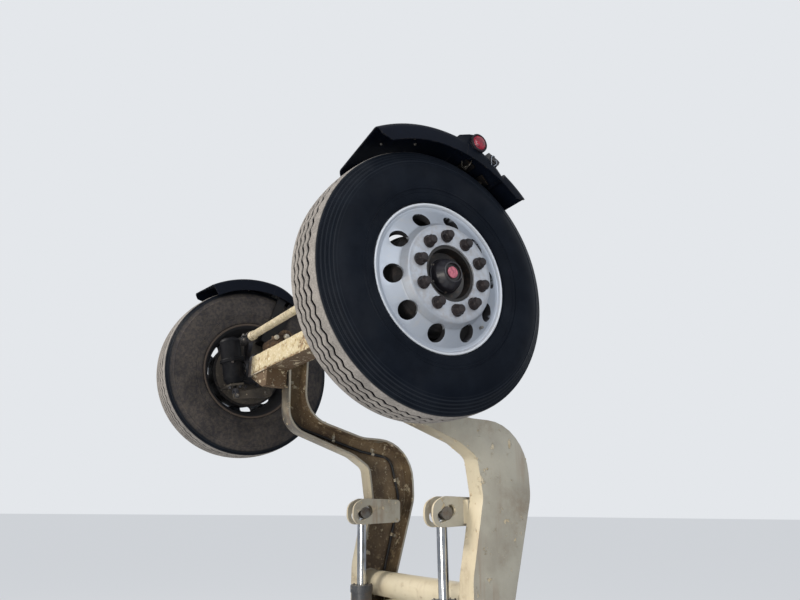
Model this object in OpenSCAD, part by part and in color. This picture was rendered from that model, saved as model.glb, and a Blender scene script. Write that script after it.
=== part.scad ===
// Raised booster axle of a concrete mixer truck: a steered trailing axle on two
// curved arms that swings up behind the drum for travel without a load.
// Origin: middle of the front face of the plate that bolts to the truck frame.
// +X is the truck's right side, +Y its front, +Z up. Millimetres.

/* [Tyre] */
// Outer diameter of the tyre
tyre_d = 1054; // [1020:2:1090]
// Width across the sidewalls
tyre_w = 279; // [268:1:290]
// Width of the tread
tread_w = 190; // [176:2:204]
// Depth of the tread grooves
groove_depth = 13; // [6:1:18]
// Width of the tread grooves
groove_w = 9; // [6:1:12]

/* [Wheel] */
// Diameter of the bead seats
rim_d = 571.5; // [560:0.5:575]
// Width of the rim between its flanges
rim_w = 209.6; // [200:0.2:214]
// Height of the rim flanges above the bead seats
flange_h = 12.75; // [10:0.25:14]
// Distance from the middle of the tyre out to the face of the disc
disc_outset = 170; // [160:1:176]
// Thickness of the disc at the nuts
disc_t = 22; // [18:1:26]
// Outer diameter of the flat face of the disc
plateau_d = 380; // [360:2:390]
// Diameter of the pilot bore
pilot_d = 220; // [216:0.5:221]
// Diameter of the circle of wheel nuts
nut_circle = 285.75; // [275:0.25:295]
// Number of wheel nuts and of hand holes
hole_n = 10; // [8:1:10]
// Diameter of the hand holes
hand_hole_d = 72; // [50:1:76]
// Diameter of the circle of hand holes
hand_circle = 456; // [450:1:462]

/* [Axle] */
// Distance from a kingpin out to the middle of its tyre
wheel_out = 200; // [196:1:214]
// Distance from the end of the axle beam out to the kingpin
kingpin_out = 100; // [97:1:108]
// Depth of the axle beam, front to back as it stands raised
beam_d = 127; // [110:1:140]
// Height of the axle beam as it stands raised
beam_h = 110; // [100:1:120]
// Length of the axle beam
beam_len = 1400; // [1300:5:1600]
// Wall of the axle beam
beam_wall = 10; // [6:1:14]
// Lean of the kingpins when the axle is lowered
caster = 5; // [3:0.5:7]
// Diameter of the kingpins
kingpin_d = 44; // [38:1:48]
// Length of the steering arms, measured backward from the kingpin
steer_arm_back = 167; // [160:1:175]
// Diameter of the tie rod
tie_rod_d = 44; // [34:1:48]

/* [Lift arms] */
// Distance from the middle of a cylinder out to the middle of its arm
arm_out = 125; // [120:1:140]
// Width of an arm
arm_w = 100; // [90:2:104]
// Thickness of the flanges of an arm
arm_flange_t = 12; // [8:1:16]
// Thickness of the web of an arm
arm_web_t = 10; // [6:1:14]
// Distance from the pivot back to the axle, raised
axle_back = 660; // [655:1:665]
// Distance from the pivot up to the axle, raised
axle_up = 1420; // [1410:2:1430]
// Angle through which the axle swings down
lift_travel = 83; // [70:1:84]
// Diameter of the pivot pins
pivot_pin_d = 65; // [55:1:75]
// Diameter of the pivot bosses
pivot_boss_d = 180; // [160:2:190]
// Diameter of the tube between the arms
torsion_d = 130; // [100:2:140]

/* [Frame plate] */
// Distance from the middle of an arm out to the edge of the plate
plate_out = 130; // [125:1:180]
// Height of the plate
plate_h = 460; // [440:5:500]
// Thickness of the plate
plate_t = 20; // [14:1:26]
// Distance from the face of the plate back to the pivot
pivot_back = 190; // [180:5:220]
// Height of the pivot above the middle of the plate
pivot_up = 100; // [90:2:110]
// Distance from the edge of the plate in to the outer bolts
bolt_in = 60; // [50:1:70]
// Distance between the bolt rows, up and down
bolt_z = 400; // [380:5:410]
// Diameter of the mounting bolt holes
bolt_hole_d = 22; // [18:1:26]

/* [Lift cylinders] */
// Distance between the middles of the two cylinders
cyl_track = 750; // [700:2:850]
// Outer diameter of the barrel
barrel_d = 112; // [100:2:118]
// Bore of the barrel
bore_d = 90; // [80:1:94]
// Diameter of the rod
rod_d = 50; // [40:1:56]
// Diameter of the pins at both ends
cyl_pin_d = 40; // [34:1:46]
// Width of the eyes at both ends
eye_w = 50; // [40:1:54]

/* [Fender] */
// Radius of the fender's top about the wheel centre
fender_r = 615; // [605:1:625]
// Width of the fender
fender_w = 350; // [340:2:360]
// Thickness of the fender's skin
fender_t = 6; // [4:1:8]
// Depth of the fender's outer skirt
skirt_depth = 75; // [66:1:82]
// Depth of the fender's inner skirt
inner_skirt = 75; // [66:1:82]
// Diameter of the marker lamp's lens
lamp_d = 63.5; // [55:0.5:68]

/* [Hidden] */
$fn = 96;

// Colours, as the photo shows them
paint = [0.80, 0.79, 0.75];
crust = [0.72, 0.64, 0.52];
dark_steel = [0.24, 0.25, 0.28];
rubber = [0.09, 0.09, 0.10];
alloy = [0.86, 0.87, 0.88];
moulding = [0.07, 0.08, 0.11];
hub_black = [0.10, 0.09, 0.09];
cast = [0.30, 0.25, 0.21];

// Running clearance of a pin in its bore, and free gap beside moving faces
fit = 0.06;
side_gap = 3;
eps = 0.01;

// Places that other sizes set
pivot = [0, -pivot_back, pivot_up];
axle = pivot + [0, -axle_back, axle_up];
kingpin_x = beam_len / 2 + kingpin_out;
wheel_x = kingpin_x + wheel_out;
cyl_x = cyl_track / 2;
arm_x = cyl_x + arm_out;
plate_w = 2 * (arm_x + plate_out);
bolt_x = plate_w - 2 * bolt_in;
beam_z = -15;
beam_front = beam_d / 2 + 2;
tyre_r = tyre_d / 2;
seat_r = rim_d / 2;
flange_r = seat_r + flange_h;
rim_half = rim_w / 2;
rim_edge = rim_half + 12.2;

// A copy on the right, or its mirror image on the left
module side(s) { if (s > 0) children(); else mirror([1, 0, 0]) children(); }
module both_sides() { for (s = [1, -1]) side(s) children(); }
// The axle's own frame: its middle, as it stands raised
module at_axle() { translate(axle) children(); }
// The frame of the right wheel, with Z turned outward along the spindle
module at_wheel() { at_axle() translate([wheel_x, 0, 0]) rotate([0, 90, 0]) children(); }
// The frame of the right kingpin, upright as the lowered axle has it
module at_kingpin() {
  at_axle() translate([kingpin_x, 0, 0]) rotate([caster - lift_travel, 0, 0]) children();
}
// A bar of the Y-Z outline given by children, from x0 to x1
module bar_x(x0, x1) {
  translate([x0, 0, 0]) rotate([90, 0, 90]) linear_extrude(x1 - x0) children();
}
// A cylinder along X
module rod_x(x0, x1, r) { translate([x0, 0, 0]) rotate([0, 90, 0]) cylinder(h = x1 - x0, r = r); }

// Points of an outline whose corners are [y, z, radius]
function unit(v) = v / norm(v);
function corner(a, p, b, r, n) = r <= 0 ? [p] :
  let (u = unit(a - p), v = unit(b - p), half = acos(u * v) / 2,
       c = p + unit(u + v) * r / sin(half),
       s = p + u * r / tan(half) - c, e = p + v * r / tan(half) - c,
       a0 = atan2(s[1], s[0]), sweep = (atan2(e[1], e[0]) - a0 + 540) % 360 - 180)
  [for (i = [0:n]) c + r * [cos(a0 + sweep * i / n), sin(a0 + sweep * i / n)]];
function flat(p) = [p[0], p[1]];
function rounded(pts, n = 8) = let (k = len(pts))
  [for (i = [0:k - 1]) each corner(flat(pts[(i + k - 1) % k]), flat(pts[i]),
    flat(pts[(i + 1) % k]), pts[i][2], n)];
// The same outline moved inward by t; the points run clockwise
function side_in(a, b, t) = let (d = unit(b - a)) [a + [d[1], -d[0]] * t, d];
function meet(p, d, q, e) = p + d * ((q - p)[0] * e[1] - (q - p)[1] * e[0]) / (d[0] * e[1] - d[1] * e[0]);
function turn(a, p, b) = sign((p - a)[0] * (b - p)[1] - (p - a)[1] * (b - p)[0]);
function inset(pts, t) = let (k = len(pts))
  [for (i = [0:k - 1]) let (a = flat(pts[(i + k - 1) % k]), p = flat(pts[i]),
      b = flat(pts[(i + 1) % k]), f = side_in(a, p, t), g = side_in(p, b, t),
      q = meet(f[0], f[1], g[0], g[1]), r = pts[i][2])
    [q[0], q[1], r <= 0 ? 0 : max(1, r + turn(a, p, b) * t)]];

// Frame mounting, fixed to the truck

lug_t = 18;
hinge_half = arm_w / 2 + 4;
cyl_lug_t = 16;
cyl_lug_half = eye_w / 2 + 1;
base_pin = [-110, -230];
lift_hole_d = 150;

module mounting_plate() {
  color(paint) difference() {
    translate([-plate_w / 2, -plate_t, -plate_h / 2]) cube([plate_w, plate_t, plate_h]);
    for (x = [-1, 1], z = [-1, 1]) translate([x * bolt_x / 2, eps, z * bolt_z / 2])
      rotate([90, 0, 0]) cylinder(h = plate_t + 2 * eps, d = bolt_hole_d);
    for (x = [-1, 1]) translate([x * plate_w / 9, eps, 0])
      rotate([90, 0, 0]) cylinder(h = plate_t + 2 * eps, d = lift_hole_d);
  }
}

// Lug outline about the pivot, from the plate out to a nose of radius r at [y, z]
function lug(y, z, r, top, low) = rounded([[pivot_back - plate_t, top, 0], [y - r, z + r, r * 0.95],
  [y - r, z - r, r * 0.95], [pivot_back - plate_t, low, 0]]);

module hinge_lugs() {
  color(paint) both_sides() for (x = [arm_x - hinge_half - side_gap - lug_t, arm_x + hinge_half + side_gap])
    translate(pivot) difference() {
      bar_x(x, x + lug_t) polygon(lug(0, 0, pivot_boss_d / 2 - 4, plate_h / 2 - pivot_up, -150));
      rod_x(x - eps, x + lug_t + eps, pivot_pin_d / 2 + 0.1);
    }
}

module cylinder_lugs() {
  color(paint) both_sides() for (x = [cyl_x - cyl_lug_half - cyl_lug_t, cyl_x + cyl_lug_half])
    translate(pivot) difference() {
      bar_x(x, x + cyl_lug_t) polygon(lug(base_pin[0], base_pin[1], 46, -166, -plate_h / 2 - pivot_up + 6));
      translate([0, base_pin[0], base_pin[1]]) rod_x(x - eps, x + cyl_lug_t + eps, cyl_pin_d / 2 + 0.1);
    }
}

// A headed pin along X with a keeper plate at each end
module headed_pin(x0, x1, r, head_r, head_t) {
  rod_x(x0 - head_t, x1 + head_t, r);
  rod_x(x0 - head_t, x0, head_r);
  rod_x(x1, x1 + head_t, head_r);
}

module pivot_pins() {
  color(dark_steel) both_sides() translate(pivot)
    headed_pin(arm_x - hinge_half - side_gap - lug_t, arm_x + hinge_half + side_gap + lug_t,
      pivot_pin_d / 2, pivot_pin_d * 0.72, 10);
}

module base_pins() {
  color(dark_steel) both_sides() translate(pivot + [0, base_pin[0], base_pin[1]])
    headed_pin(cyl_x - cyl_lug_half - cyl_lug_t, cyl_x + cyl_lug_half + cyl_lug_t,
      cyl_pin_d / 2, cyl_pin_d * 0.75, 6);
}

// Swinging arms and axle beam

// Arm outline about the pivot, clockwise from the top front: [y, z, corner radius]
beam_rear = -axle_back + beam_front;
arm_top = axle_up + 55;
arm_outline = [[-470, arm_top, 0], [-470, 1109, 180], [-93, 1007, 260], [262, 1003, 250],
  [278, 660, 220], [pivot_boss_d / 2 - 1, 0, 0], [1 - pivot_boss_d / 2, 0, 0], [-90, 300, 260],
  [-18, 650, 110], [-48, 830, 60], [-150, 893, 150], [-575, 1032, 150], [beam_rear, arm_top, 0]];

module arm() {
  x0 = arm_x - arm_w / 2;
  x1 = arm_x + arm_w / 2;
  translate(pivot) difference() {
    union() {
      difference() {
        bar_x(x0, x1) polygon(rounded(arm_outline));
        bar_x(x0 - 1, x1 - arm_web_t) polygon(rounded(inset(arm_outline, arm_flange_t)));
      }
      rod_x(arm_x - hinge_half, arm_x + hinge_half, pivot_boss_d / 2);
    }
    rod_x(arm_x - hinge_half - 1, arm_x + hinge_half + 1, pivot_pin_d / 2 + fit);
  }
}
module arm_right() { color(paint) side(1) arm(); }
module arm_left() { color(paint) side(-1) arm(); }

torsion_at = [30, 205];
module torsion_tube() {
  half = arm_x + arm_w / 2 - arm_web_t;
  color(paint) translate(pivot + [0, torsion_at[0], torsion_at[1]]) difference() {
    rod_x(-half, half, torsion_d / 2);
    rod_x(-half - 1, half + 1, torsion_d / 2 - 12);
  }
}

// Gusset under the beam, from its end in to the arm
gusset_low = -160;
gusset_t = 8;
module axle_beam() {
  color(crust) at_axle() {
    translate([0, 2, beam_z]) difference() {
      bar_x(-beam_len / 2, beam_len / 2) square([beam_d, beam_h], center = true);
      bar_x(-beam_len / 2 - 1, beam_len / 2 + 1)
        square([beam_d - 2 * beam_wall, beam_h - 2 * beam_wall], center = true);
    }
    both_sides() {
      beam_low = beam_z - beam_h / 2;
      for (y = [-beam_d / 2 + 6, beam_d / 2 - 10]) translate([0, y + gusset_t, 0]) rotate([90, 0, 0])
        linear_extrude(gusset_t) polygon([[beam_len / 2 - 6, beam_low], [beam_len / 2 - 6, beam_low - 14],
          [arm_x + 12, gusset_low], [arm_x - 40, gusset_low], [arm_x - 40, beam_low]]);
      translate([arm_x - 40, 3 - beam_d / 2, gusset_low - gusset_t + 1])
        cube([gusset_t, beam_d - 6, beam_low - gusset_low + gusset_t]);
      translate([0, beam_d / 2 - 2, 0]) rotate([90, 0, 0]) linear_extrude(beam_d - 4)
        polygon([[beam_len / 2 - 6, beam_low - 14], [arm_x + 12, gusset_low], [arm_x - 40, gusset_low],
          [arm_x - 40, gusset_low - gusset_t], [arm_x + 12, gusset_low - gusset_t],
          [beam_len / 2 - 6, beam_low - 14 - gusset_t]]);
    }
  }
}

boss_r = 42;
boss_half = 50;
end_plate_t = 14;
end_plate_step = 26;
end_plate_lip = 6;
module axle_ends() {
  color(dark_steel) both_sides() difference() {
    union() {
      at_axle() for (x = [0, end_plate_step]) translate([beam_len / 2 + x, 2 - beam_d / 2 - end_plate_lip,
        beam_z - beam_h / 2 - end_plate_lip])
        cube([end_plate_t, beam_d + 2 * end_plate_lip, beam_h + 2 * end_plate_lip]);
      at_kingpin() {
        cylinder(h = 2 * boss_half, r = boss_r, center = true);
        translate([beam_len / 2 + end_plate_t / 2 - kingpin_x, -boss_r + 4, -boss_half + 8])
          cube([kingpin_x - beam_len / 2 - end_plate_t / 2, 2 * boss_r - 8, 2 * boss_half - 16]);
      }
    }
    at_kingpin() cylinder(h = 3 * boss_half, d = kingpin_d + 0.2, center = true);
  }
}

ear_gap = 2;
ear_t = 28;
pin_half = boss_half + ear_gap + ear_t;
module kingpins() {
  color(dark_steel) both_sides() at_kingpin() {
    cylinder(h = 2 * pin_half, d = kingpin_d, center = true);
    translate([0, 0, pin_half]) cylinder(h = 4, d = kingpin_d + 20);
    translate([0, 0, -pin_half - 3]) cylinder(h = 3, d = kingpin_d + 20);
  }
}

// Slotted bracket on each arm that takes the cylinder's rod pin
rod_eye = [-130, 580];
slot_from = [27.3, 12.4];
slot_to = [-25.7, -16.6];
slot_r = cyl_pin_d / 2 + 6;
slot_lug_t = 14;
module slot(x0, x1, r) {
  d = slot_to - slot_from;
  far = norm(d) + r;
  translate([0, slot_from[0], slot_from[1]]) rotate([atan2(d[1], d[0]), 0, 0]) bar_x(x0, x1)
    polygon(rounded([[-r, r, r * 0.99], [far, r, r * 0.99], [far, -r, r * 0.99], [-r, -r, r * 0.99]], 12));
}
module rod_brackets() {
  inner = arm_x - arm_w / 2;
  color(paint) both_sides() translate(pivot + [0, rod_eye[0], rod_eye[1]]) {
    for (x = [cyl_x - cyl_lug_half - slot_lug_t, cyl_x + cyl_lug_half]) difference() {
      bar_x(x, x + slot_lug_t) polygon(rounded([[230, 72, 20], [230, -50, 20], [-76, -66, 50],
        [-76, 44, 55], [-10, 76, 60]]));
      slot(x - eps, x + slot_lug_t + eps, slot_r);
    }
    translate([cyl_x - cyl_lug_half - slot_lug_t, 100, -46]) cube([inner - cyl_x + cyl_lug_half + slot_lug_t, 14, 108]);
    translate([cyl_x + cyl_lug_half, 190, -46]) cube([inner - cyl_x - cyl_lug_half, 14, 108]);
  }
}

// Air lock on top of the beam that holds the steering straight
lock_at = [-5, 92];
lock_inset = 80;
lock_len = 270;
lock_from = lock_inset - beam_len / 2;
lock_to = lock_from + lock_len;
lock_r = 32;
module steer_lock() {
  color(dark_steel) at_axle() {
    translate([0, lock_at[0], lock_at[1]]) {
      rod_x(lock_from, lock_to, lock_r);
      rod_x(lock_to - 14, lock_to, 43);
      rod_x(lock_to, lock_to + 9, 17);
      for (y = [-58, 58]) translate([0, y, -10]) rod_x(lock_to - 30, lock_to + 8, 11);
      translate([lock_to - 30, -72, -22]) cube([12, 144, 24]);
    }
    for (x = [lock_to - 30, lock_from + 20]) translate([x, lock_at[0] - 34, beam_z + beam_h / 2])
      cube([12, 68, lock_at[1] - beam_z - beam_h / 2 - lock_r + 8]);
  }
}

// Brake hoses clipped inside each arm: [y, z, bend radius] about the pivot
hose_r = 8;
clip_t = 3;
hose_x = arm_x + arm_w / 2 - arm_web_t - hose_r - clip_t;
hose_route = [[-558, 1426, 0], [-545, 1060, 150], [-60, 930, 120], [150, 900, 90], [215, 660, 160],
  [124, 290, 150], [100, 152, 0]];
arc_n = 7;
function open_path(pts, n = arc_n) = let (k = len(pts))
  [for (i = [0:k - 1]) each (i == 0 || i == k - 1 ? [flat(pts[i])] :
    corner(flat(pts[i - 1]), flat(pts[i]), flat(pts[i + 1]), pts[i][2], n))];
function heading(path, i) = let (k = len(path)) unit(path[min(i + 1, k - 1)] - path[max(i - 1, 0)]);
// A round tube at X = x along a path in the Y-Z plane
module tube_along(path, x, r, sides = 10) {
  k = len(path);
  points = [for (i = [0:k - 1], j = [0:sides - 1]) let (h = heading(path, i), a = 360 * j / sides)
    [x + r * cos(a), path[i][0] - h[1] * r * sin(a), path[i][1] + h[0] * r * sin(a)]];
  walls = [for (i = [0:k - 2], j = [0:sides - 1]) let (n = (j + 1) % sides)
    [i * sides + j, i * sides + n, (i + 1) * sides + n, (i + 1) * sides + j]];
  polyhedron(points, concat(walls, [[for (j = [sides - 1:-1:0]) j]],
    [[for (j = [0:sides - 1]) (k - 1) * sides + j]]));
}
module arm_hoses() {
  color(rubber) both_sides() translate(pivot) tube_along(open_path(hose_route), hose_x, hose_r);
}

// A clip stands in the middle of each straight run of the hose
module hose_clips() {
  web = arm_x + arm_w / 2 - arm_web_t;
  path = open_path(hose_route);
  color(alloy) both_sides() translate(pivot) for (i = [0:arc_n + 1:len(path) - 3])
  let (a = path[i], b = path[i + 1], mid = (a + b) / 2, h = b - a)
  translate([0, mid[0], mid[1]]) rotate([atan2(h[1], h[0]), 0, 0]) {
    difference() {
      union() {
        translate([hose_x, -9, 0]) rotate([-90, 0, 0]) cylinder(h = 18, r = hose_r + clip_t);
        translate([hose_x, -9, 0]) cube([web - hose_x, 18, 34]);
      }
      translate([hose_x, -10, 0]) rotate([-90, 0, 0]) cylinder(h = 20, r = hose_r + 0.4);
      translate([hose_x - 1, -10, -hose_r - 4]) cube([web - hose_x + 2, 20, hose_r + 4]);
      translate([hose_x, -10, -1]) cube([web - hose_x - 3, 20, 36]);
    }
    translate([web - 11, 0, 24]) rotate([0, 90, 0]) cylinder(h = 8, r = 7, $fn = 6);
  }
  // The block that each end of the hose screws into
  color(alloy) both_sides() translate(pivot) for (i = [0, len(path) - 1])
  let (end = path[i], h = heading(path, i) * (i == 0 ? -1 : 1))
  translate([0, end[0], end[1]]) rotate([atan2(h[1], h[0]), 0, 0])
    translate([hose_x - 12, 0, -9]) cube([web - hose_x + 12, 30, 18]);
}

// Lift cylinders, in the frame of the base pin with Y along the cylinder

cyl_line = rod_eye - base_pin;
cyl_len = norm(cyl_line);
cyl_angle = atan2(cyl_line[1], cyl_line[0]);
barrel_base = 78;
barrel_len = 428;
piston_t = 20;
gland_t = 26;
eye_r = 40;
piston_gap = 6;
rod_reach = cyl_len - barrel_len + gland_t + piston_t + piston_gap;
neck_len = 6;
module at_base_pin() {
  translate(pivot + [cyl_x, base_pin[0], base_pin[1]]) rotate([cyl_angle, 0, 0]) children();
}
module along(y0, y1, r) { translate([0, y0, 0]) rotate([-90, 0, 0]) cylinder(h = y1 - y0, r = r); }
module barrel() {
  at_base_pin() difference() {
    union() {
      rod_x(-eye_w / 2, eye_w / 2, eye_r);
      translate([-eye_w / 2, 0, -26]) cube([eye_w, barrel_base + 4, 52]);
      along(barrel_base, barrel_base + 4, barrel_d / 2 - 4);
      along(barrel_base + 4, barrel_len, barrel_d / 2);
      along(barrel_len - gland_t, barrel_len + 8, barrel_d / 2 + 5);
      for (y = [barrel_base + 30, barrel_len - 60]) translate([barrel_d / 2 - 8, y, 0]) rotate([0, -90, 180]) cylinder(h = 26, r = 15);
    }
    rod_x(-eye_w, eye_w, cyl_pin_d / 2 + fit);
    along(barrel_base + 12, barrel_len - gland_t, bore_d / 2);
    along(barrel_len - gland_t - 1, barrel_len + 9, rod_d / 2 + fit);
  }
}
module rod() {
  at_base_pin() difference() {
    union() {
      along(cyl_len - rod_reach, cyl_len - rod_reach + piston_t, bore_d / 2 - 0.5);
      along(cyl_len - rod_reach + piston_t - 1, cyl_len - eye_r - neck_len, rod_d / 2);
      along(cyl_len - eye_r - neck_len - 1, cyl_len - eye_r + 12, rod_d / 2 - 4);
      translate([0, cyl_len, 0]) rod_x(-eye_w / 2, eye_w / 2, eye_r);
    }
    translate([0, cyl_len, 0]) rod_x(-eye_w, eye_w, cyl_pin_d / 2 + 0.1);
  }
}
module eye_pin() {
  half = cyl_lug_half + slot_lug_t + 1;
  at_base_pin() translate([0, cyl_len, 0]) headed_pin(-half, half, cyl_pin_d / 2, cyl_pin_d * 0.75, 6);
}
module barrel_right() { color(dark_steel) side(1) barrel(); }
module barrel_left() { color(dark_steel) side(-1) barrel(); }
module rod_right() { color(alloy) side(1) rod(); }
module rod_left() { color(alloy) side(-1) rod(); }
module eye_pin_right() { color(dark_steel) side(1) eye_pin(); }
module eye_pin_left() { color(dark_steel) side(-1) eye_pin(); }

// Steering knuckles

spindle_r = 40;
spindle_end = 118;
yoke_back = 54;
ball_z = -67;
ball_r = 11;
arm_plate = [-40, -14];
module knuckle() {
  out = wheel_x - kingpin_x;
  ear_in = boss_half + ear_gap;
  at_kingpin() difference() {
    union() {
      for (s = [1, -1]) translate([0, 0, s > 0 ? ear_in : -ear_in - ear_t]) {
        cylinder(h = ear_t, r = boss_r + 4);
        translate([0, -boss_r - 4, 0]) cube([yoke_back + 20, 2 * boss_r + 8, ear_t]);
      }
      translate([yoke_back, -boss_r - 4, -pin_half]) cube([20, 2 * boss_r + 8, 2 * pin_half]);
      translate([yoke_back + 18, 0, 0]) rotate([0, 90, 0]) cylinder(h = out - 95 - yoke_back, r = 84);
      translate([out - 95, 0, 0]) rotate([0, 90, 0]) cylinder(h = 95 + spindle_end, r = spindle_r);
      translate([out + spindle_end - 1, 0, 0]) rotate([0, 90, 0]) cylinder(h = 24, r = 26);
      translate([0, 0, arm_plate[0]]) linear_extrude(arm_plate[1] - arm_plate[0])
        polygon(rounded([[yoke_back + 18, -20, 0], [yoke_back + 18, -110, 40], [28, -steer_arm_back - 28, 27],
          [-28, -steer_arm_back - 28, 27], [-28, -steer_arm_back + 30, 26], [yoke_back, -66, 40],
          [yoke_back, -20, 0]]));
      translate([0, -steer_arm_back, ball_z - 26]) cylinder(h = arm_plate[0] - ball_z + 40, r = ball_r);
      translate([0, -steer_arm_back, arm_plate[1] - 1]) cylinder(h = 14, r = 17, $fn = 6);
    }
    cylinder(h = 4 * pin_half, r = kingpin_d / 2 + fit, center = true);
  }
}
module knuckle_right() { color(cast) side(1) knuckle(); }
module knuckle_left() { color(cast) side(-1) knuckle(); }

shield_at = -56;
shield_r = 205;
cam_at = [160, 30];
chamber_z = -160;
chamber_r = 66;
chamber_x = -36;
module brake_spider() {
  out = wheel_x - kingpin_x;
  at_kingpin() {
    difference() {
      union() {
        translate([out + shield_at, 0, 0]) rotate([0, 90, 0]) cylinder(h = 4, r = shield_r);
        translate([out + shield_at - 20, 0, 0]) rotate([0, 90, 0]) cylinder(h = 22, r = 118);
        translate([out + shield_at - 16, 60, 1]) cube([18, cam_at[0] - 60, 58]);
      }
      translate([out + shield_at - 30, 0, 0]) rotate([0, 90, 0]) cylinder(h = 60, r = spindle_r + 1);
    }
    translate([chamber_x + 14, cam_at[0], cam_at[1]]) rotate([0, 90, 0])
      cylinder(h = out + shield_at - chamber_x - 12, r = 24);
    translate([chamber_x - 30, cam_at[0], cam_at[1]]) rotate([0, 90, 0]) cylinder(h = 50, r = 18);
    bar_x(chamber_x - 12, chamber_x + 12) polygon(rounded([[cam_at[0] - 34, cam_at[1] + 34, 29],
      [cam_at[0] + 34, cam_at[1] + 34, 29], [cam_at[0] + 17, chamber_z - 16, 14],
      [cam_at[0] - 17, chamber_z - 16, 14]]));
    translate([chamber_x - 42, 92, chamber_z - 40]) cube([106, 10, 80]);
    translate([chamber_x + 50, 93, chamber_z - 30]) cube([out + shield_at - chamber_x - 48, 8, 120]);
  }
}
module brake_spider_right() { color(cast) side(1) brake_spider(); }
module brake_spider_left() { color(cast) side(-1) brake_spider(); }

module brake_chamber() {
  at_kingpin() translate([chamber_x, 0, chamber_z]) {
    rotate([-90, 0, 0]) rotate_extrude() polygon(rounded([[0, -184, 0], [44, -184, 16], [chamber_r - 6, -168, 18],
      [chamber_r - 6, -58, 4], [chamber_r + 4, -56, 3], [chamber_r + 4, -38, 3], [chamber_r - 6, -36, 4],
      [chamber_r - 6, 62, 18], [44, 92, 14], [0, 92, 0]], 5));
    along(102, cam_at[0] - 20.5, 9);
  }
}
module brake_chamber_right() { color(hub_black) side(1) brake_chamber(); }
module brake_chamber_left() { color(hub_black) side(-1) brake_chamber(); }

// Fender, as angles about the wheel centre with the axle raised: a low piece in front of a step,
// a bend that falls from the roof towards it, and the roof to the rear end
fender_x1 = wheel_x + tyre_w / 2 + 30.5;
fender_x0 = fender_x1 - fender_w;
roof_fall = 37;
shoulder = 26;
front_end = 46.3;
front_step = 59;
bend_from = 80;
rear_end = 122;
front_drop = 18;
riser_h = 34;
bend_r = 308;
function polar(r, a) = [r * cos(a), r * sin(a)];
bend_at = polar(fender_r - bend_r, bend_from);
// Section [radius, x, corner radius] of a skin t thick whose roof has radius o
function fender_section(o, t) = let (i = o - roof_fall)
  [[o - skirt_depth, fender_x1, 0], [o, fender_x1, shoulder], [i, fender_x0, shoulder], [i - inner_skirt, fender_x0, 0],
   [i - inner_skirt, fender_x0 + fender_t, 0], [i - t, fender_x0 + fender_t, shoulder - fender_t],
   [o - t, fender_x1 - fender_t, shoulder - fender_t], [o - skirt_depth, fender_x1 - fender_t, 0]];
module swept(from, to) { rotate([90, 0, 90]) rotate([0, 0, from]) rotate_extrude(angle = to - from) children(); }
module fender_arc(from, to, o, t) { swept(from, to) polygon(rounded(fender_section(o, t), 5)); }
module at_bend() { translate([0, bend_at[0], bend_at[1]]) children(); }
module wedge(from, to, r) {
  bar_x(fender_x0 - 1, fender_x1 + 1) polygon([polar(r, from), polar(2 * fender_r, from), polar(2 * fender_r, to), polar(r, to)]);
}
// The outer skirt keeps one radius all along and is cut off slantwise at both ends
skirt_r = fender_r - skirt_depth;
skirt_cut = 38;
cut_angle = 3.5;
module skirt_cuts() {
  rod_x(fender_x1 - fender_t - 1, fender_x1 + 1, skirt_r);
  rod_x(fender_x0 - 1, fender_x0 + fender_t + 1, skirt_r - roof_fall);
  for (e = [[front_end, 1], [rear_end, -1]]) bar_x(fender_x1 - fender_t - 1, fender_x1 + 1)
    polygon([polar(skirt_r - 1, e[0] + e[1] * cut_angle), polar(skirt_r + skirt_cut, e[0] - e[1] * 0.2),
      polar(skirt_r + skirt_cut, e[0] - e[1] * 3), polar(skirt_r - 60, e[0] - e[1] * 3), polar(skirt_r - 60, e[0] + e[1] * cut_angle)]);
}
// Round pod for the lamp, with a fairing behind it
lamp_at = polar(fender_r + 6, 75.7);
pod_r = lamp_d / 2 + 9;
pod_len = 74;
fairing = [polar(fender_r - 20, 78), polar(fender_r - 20, 86), polar(fender_r - 1, 84.6), polar(fender_r + 26, 80.2)];
fairing_top = lamp_at + [-0.5 * pod_r, 0.86 * pod_r];
module fender() {
  at_axle() difference() {
    union() {
      fender_arc(bend_from, rear_end, fender_r, fender_t);
      difference() {
        at_bend() fender_arc(30, bend_from, bend_r, fender_t);
        wedge(30, front_step + 0.3, skirt_r - 200);
      }
      fender_arc(front_step, front_step + 0.6, fender_r - front_drop, riser_h);
      fender_arc(front_end, front_step + 0.3, fender_r - front_drop, fender_t);
      translate([0, lamp_at[0], lamp_at[1]]) rod_x(fender_x1 - pod_len + 4, fender_x1 + 4, pod_r);
      bar_x(fender_x1 - pod_len + 8, fender_x1 - 2) polygon(concat(fairing, [fairing_top, lamp_at]));
    }
    translate([0, lamp_at[0], lamp_at[1]]) rod_x(fender_x1 - 30, fender_x1 + 5, lamp_d / 2 + 6);
    skirt_cuts();
  }
}
module fender_right() { color(moulding) side(1) fender(); }
module fender_left() { color(moulding) side(-1) fender(); }

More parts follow.
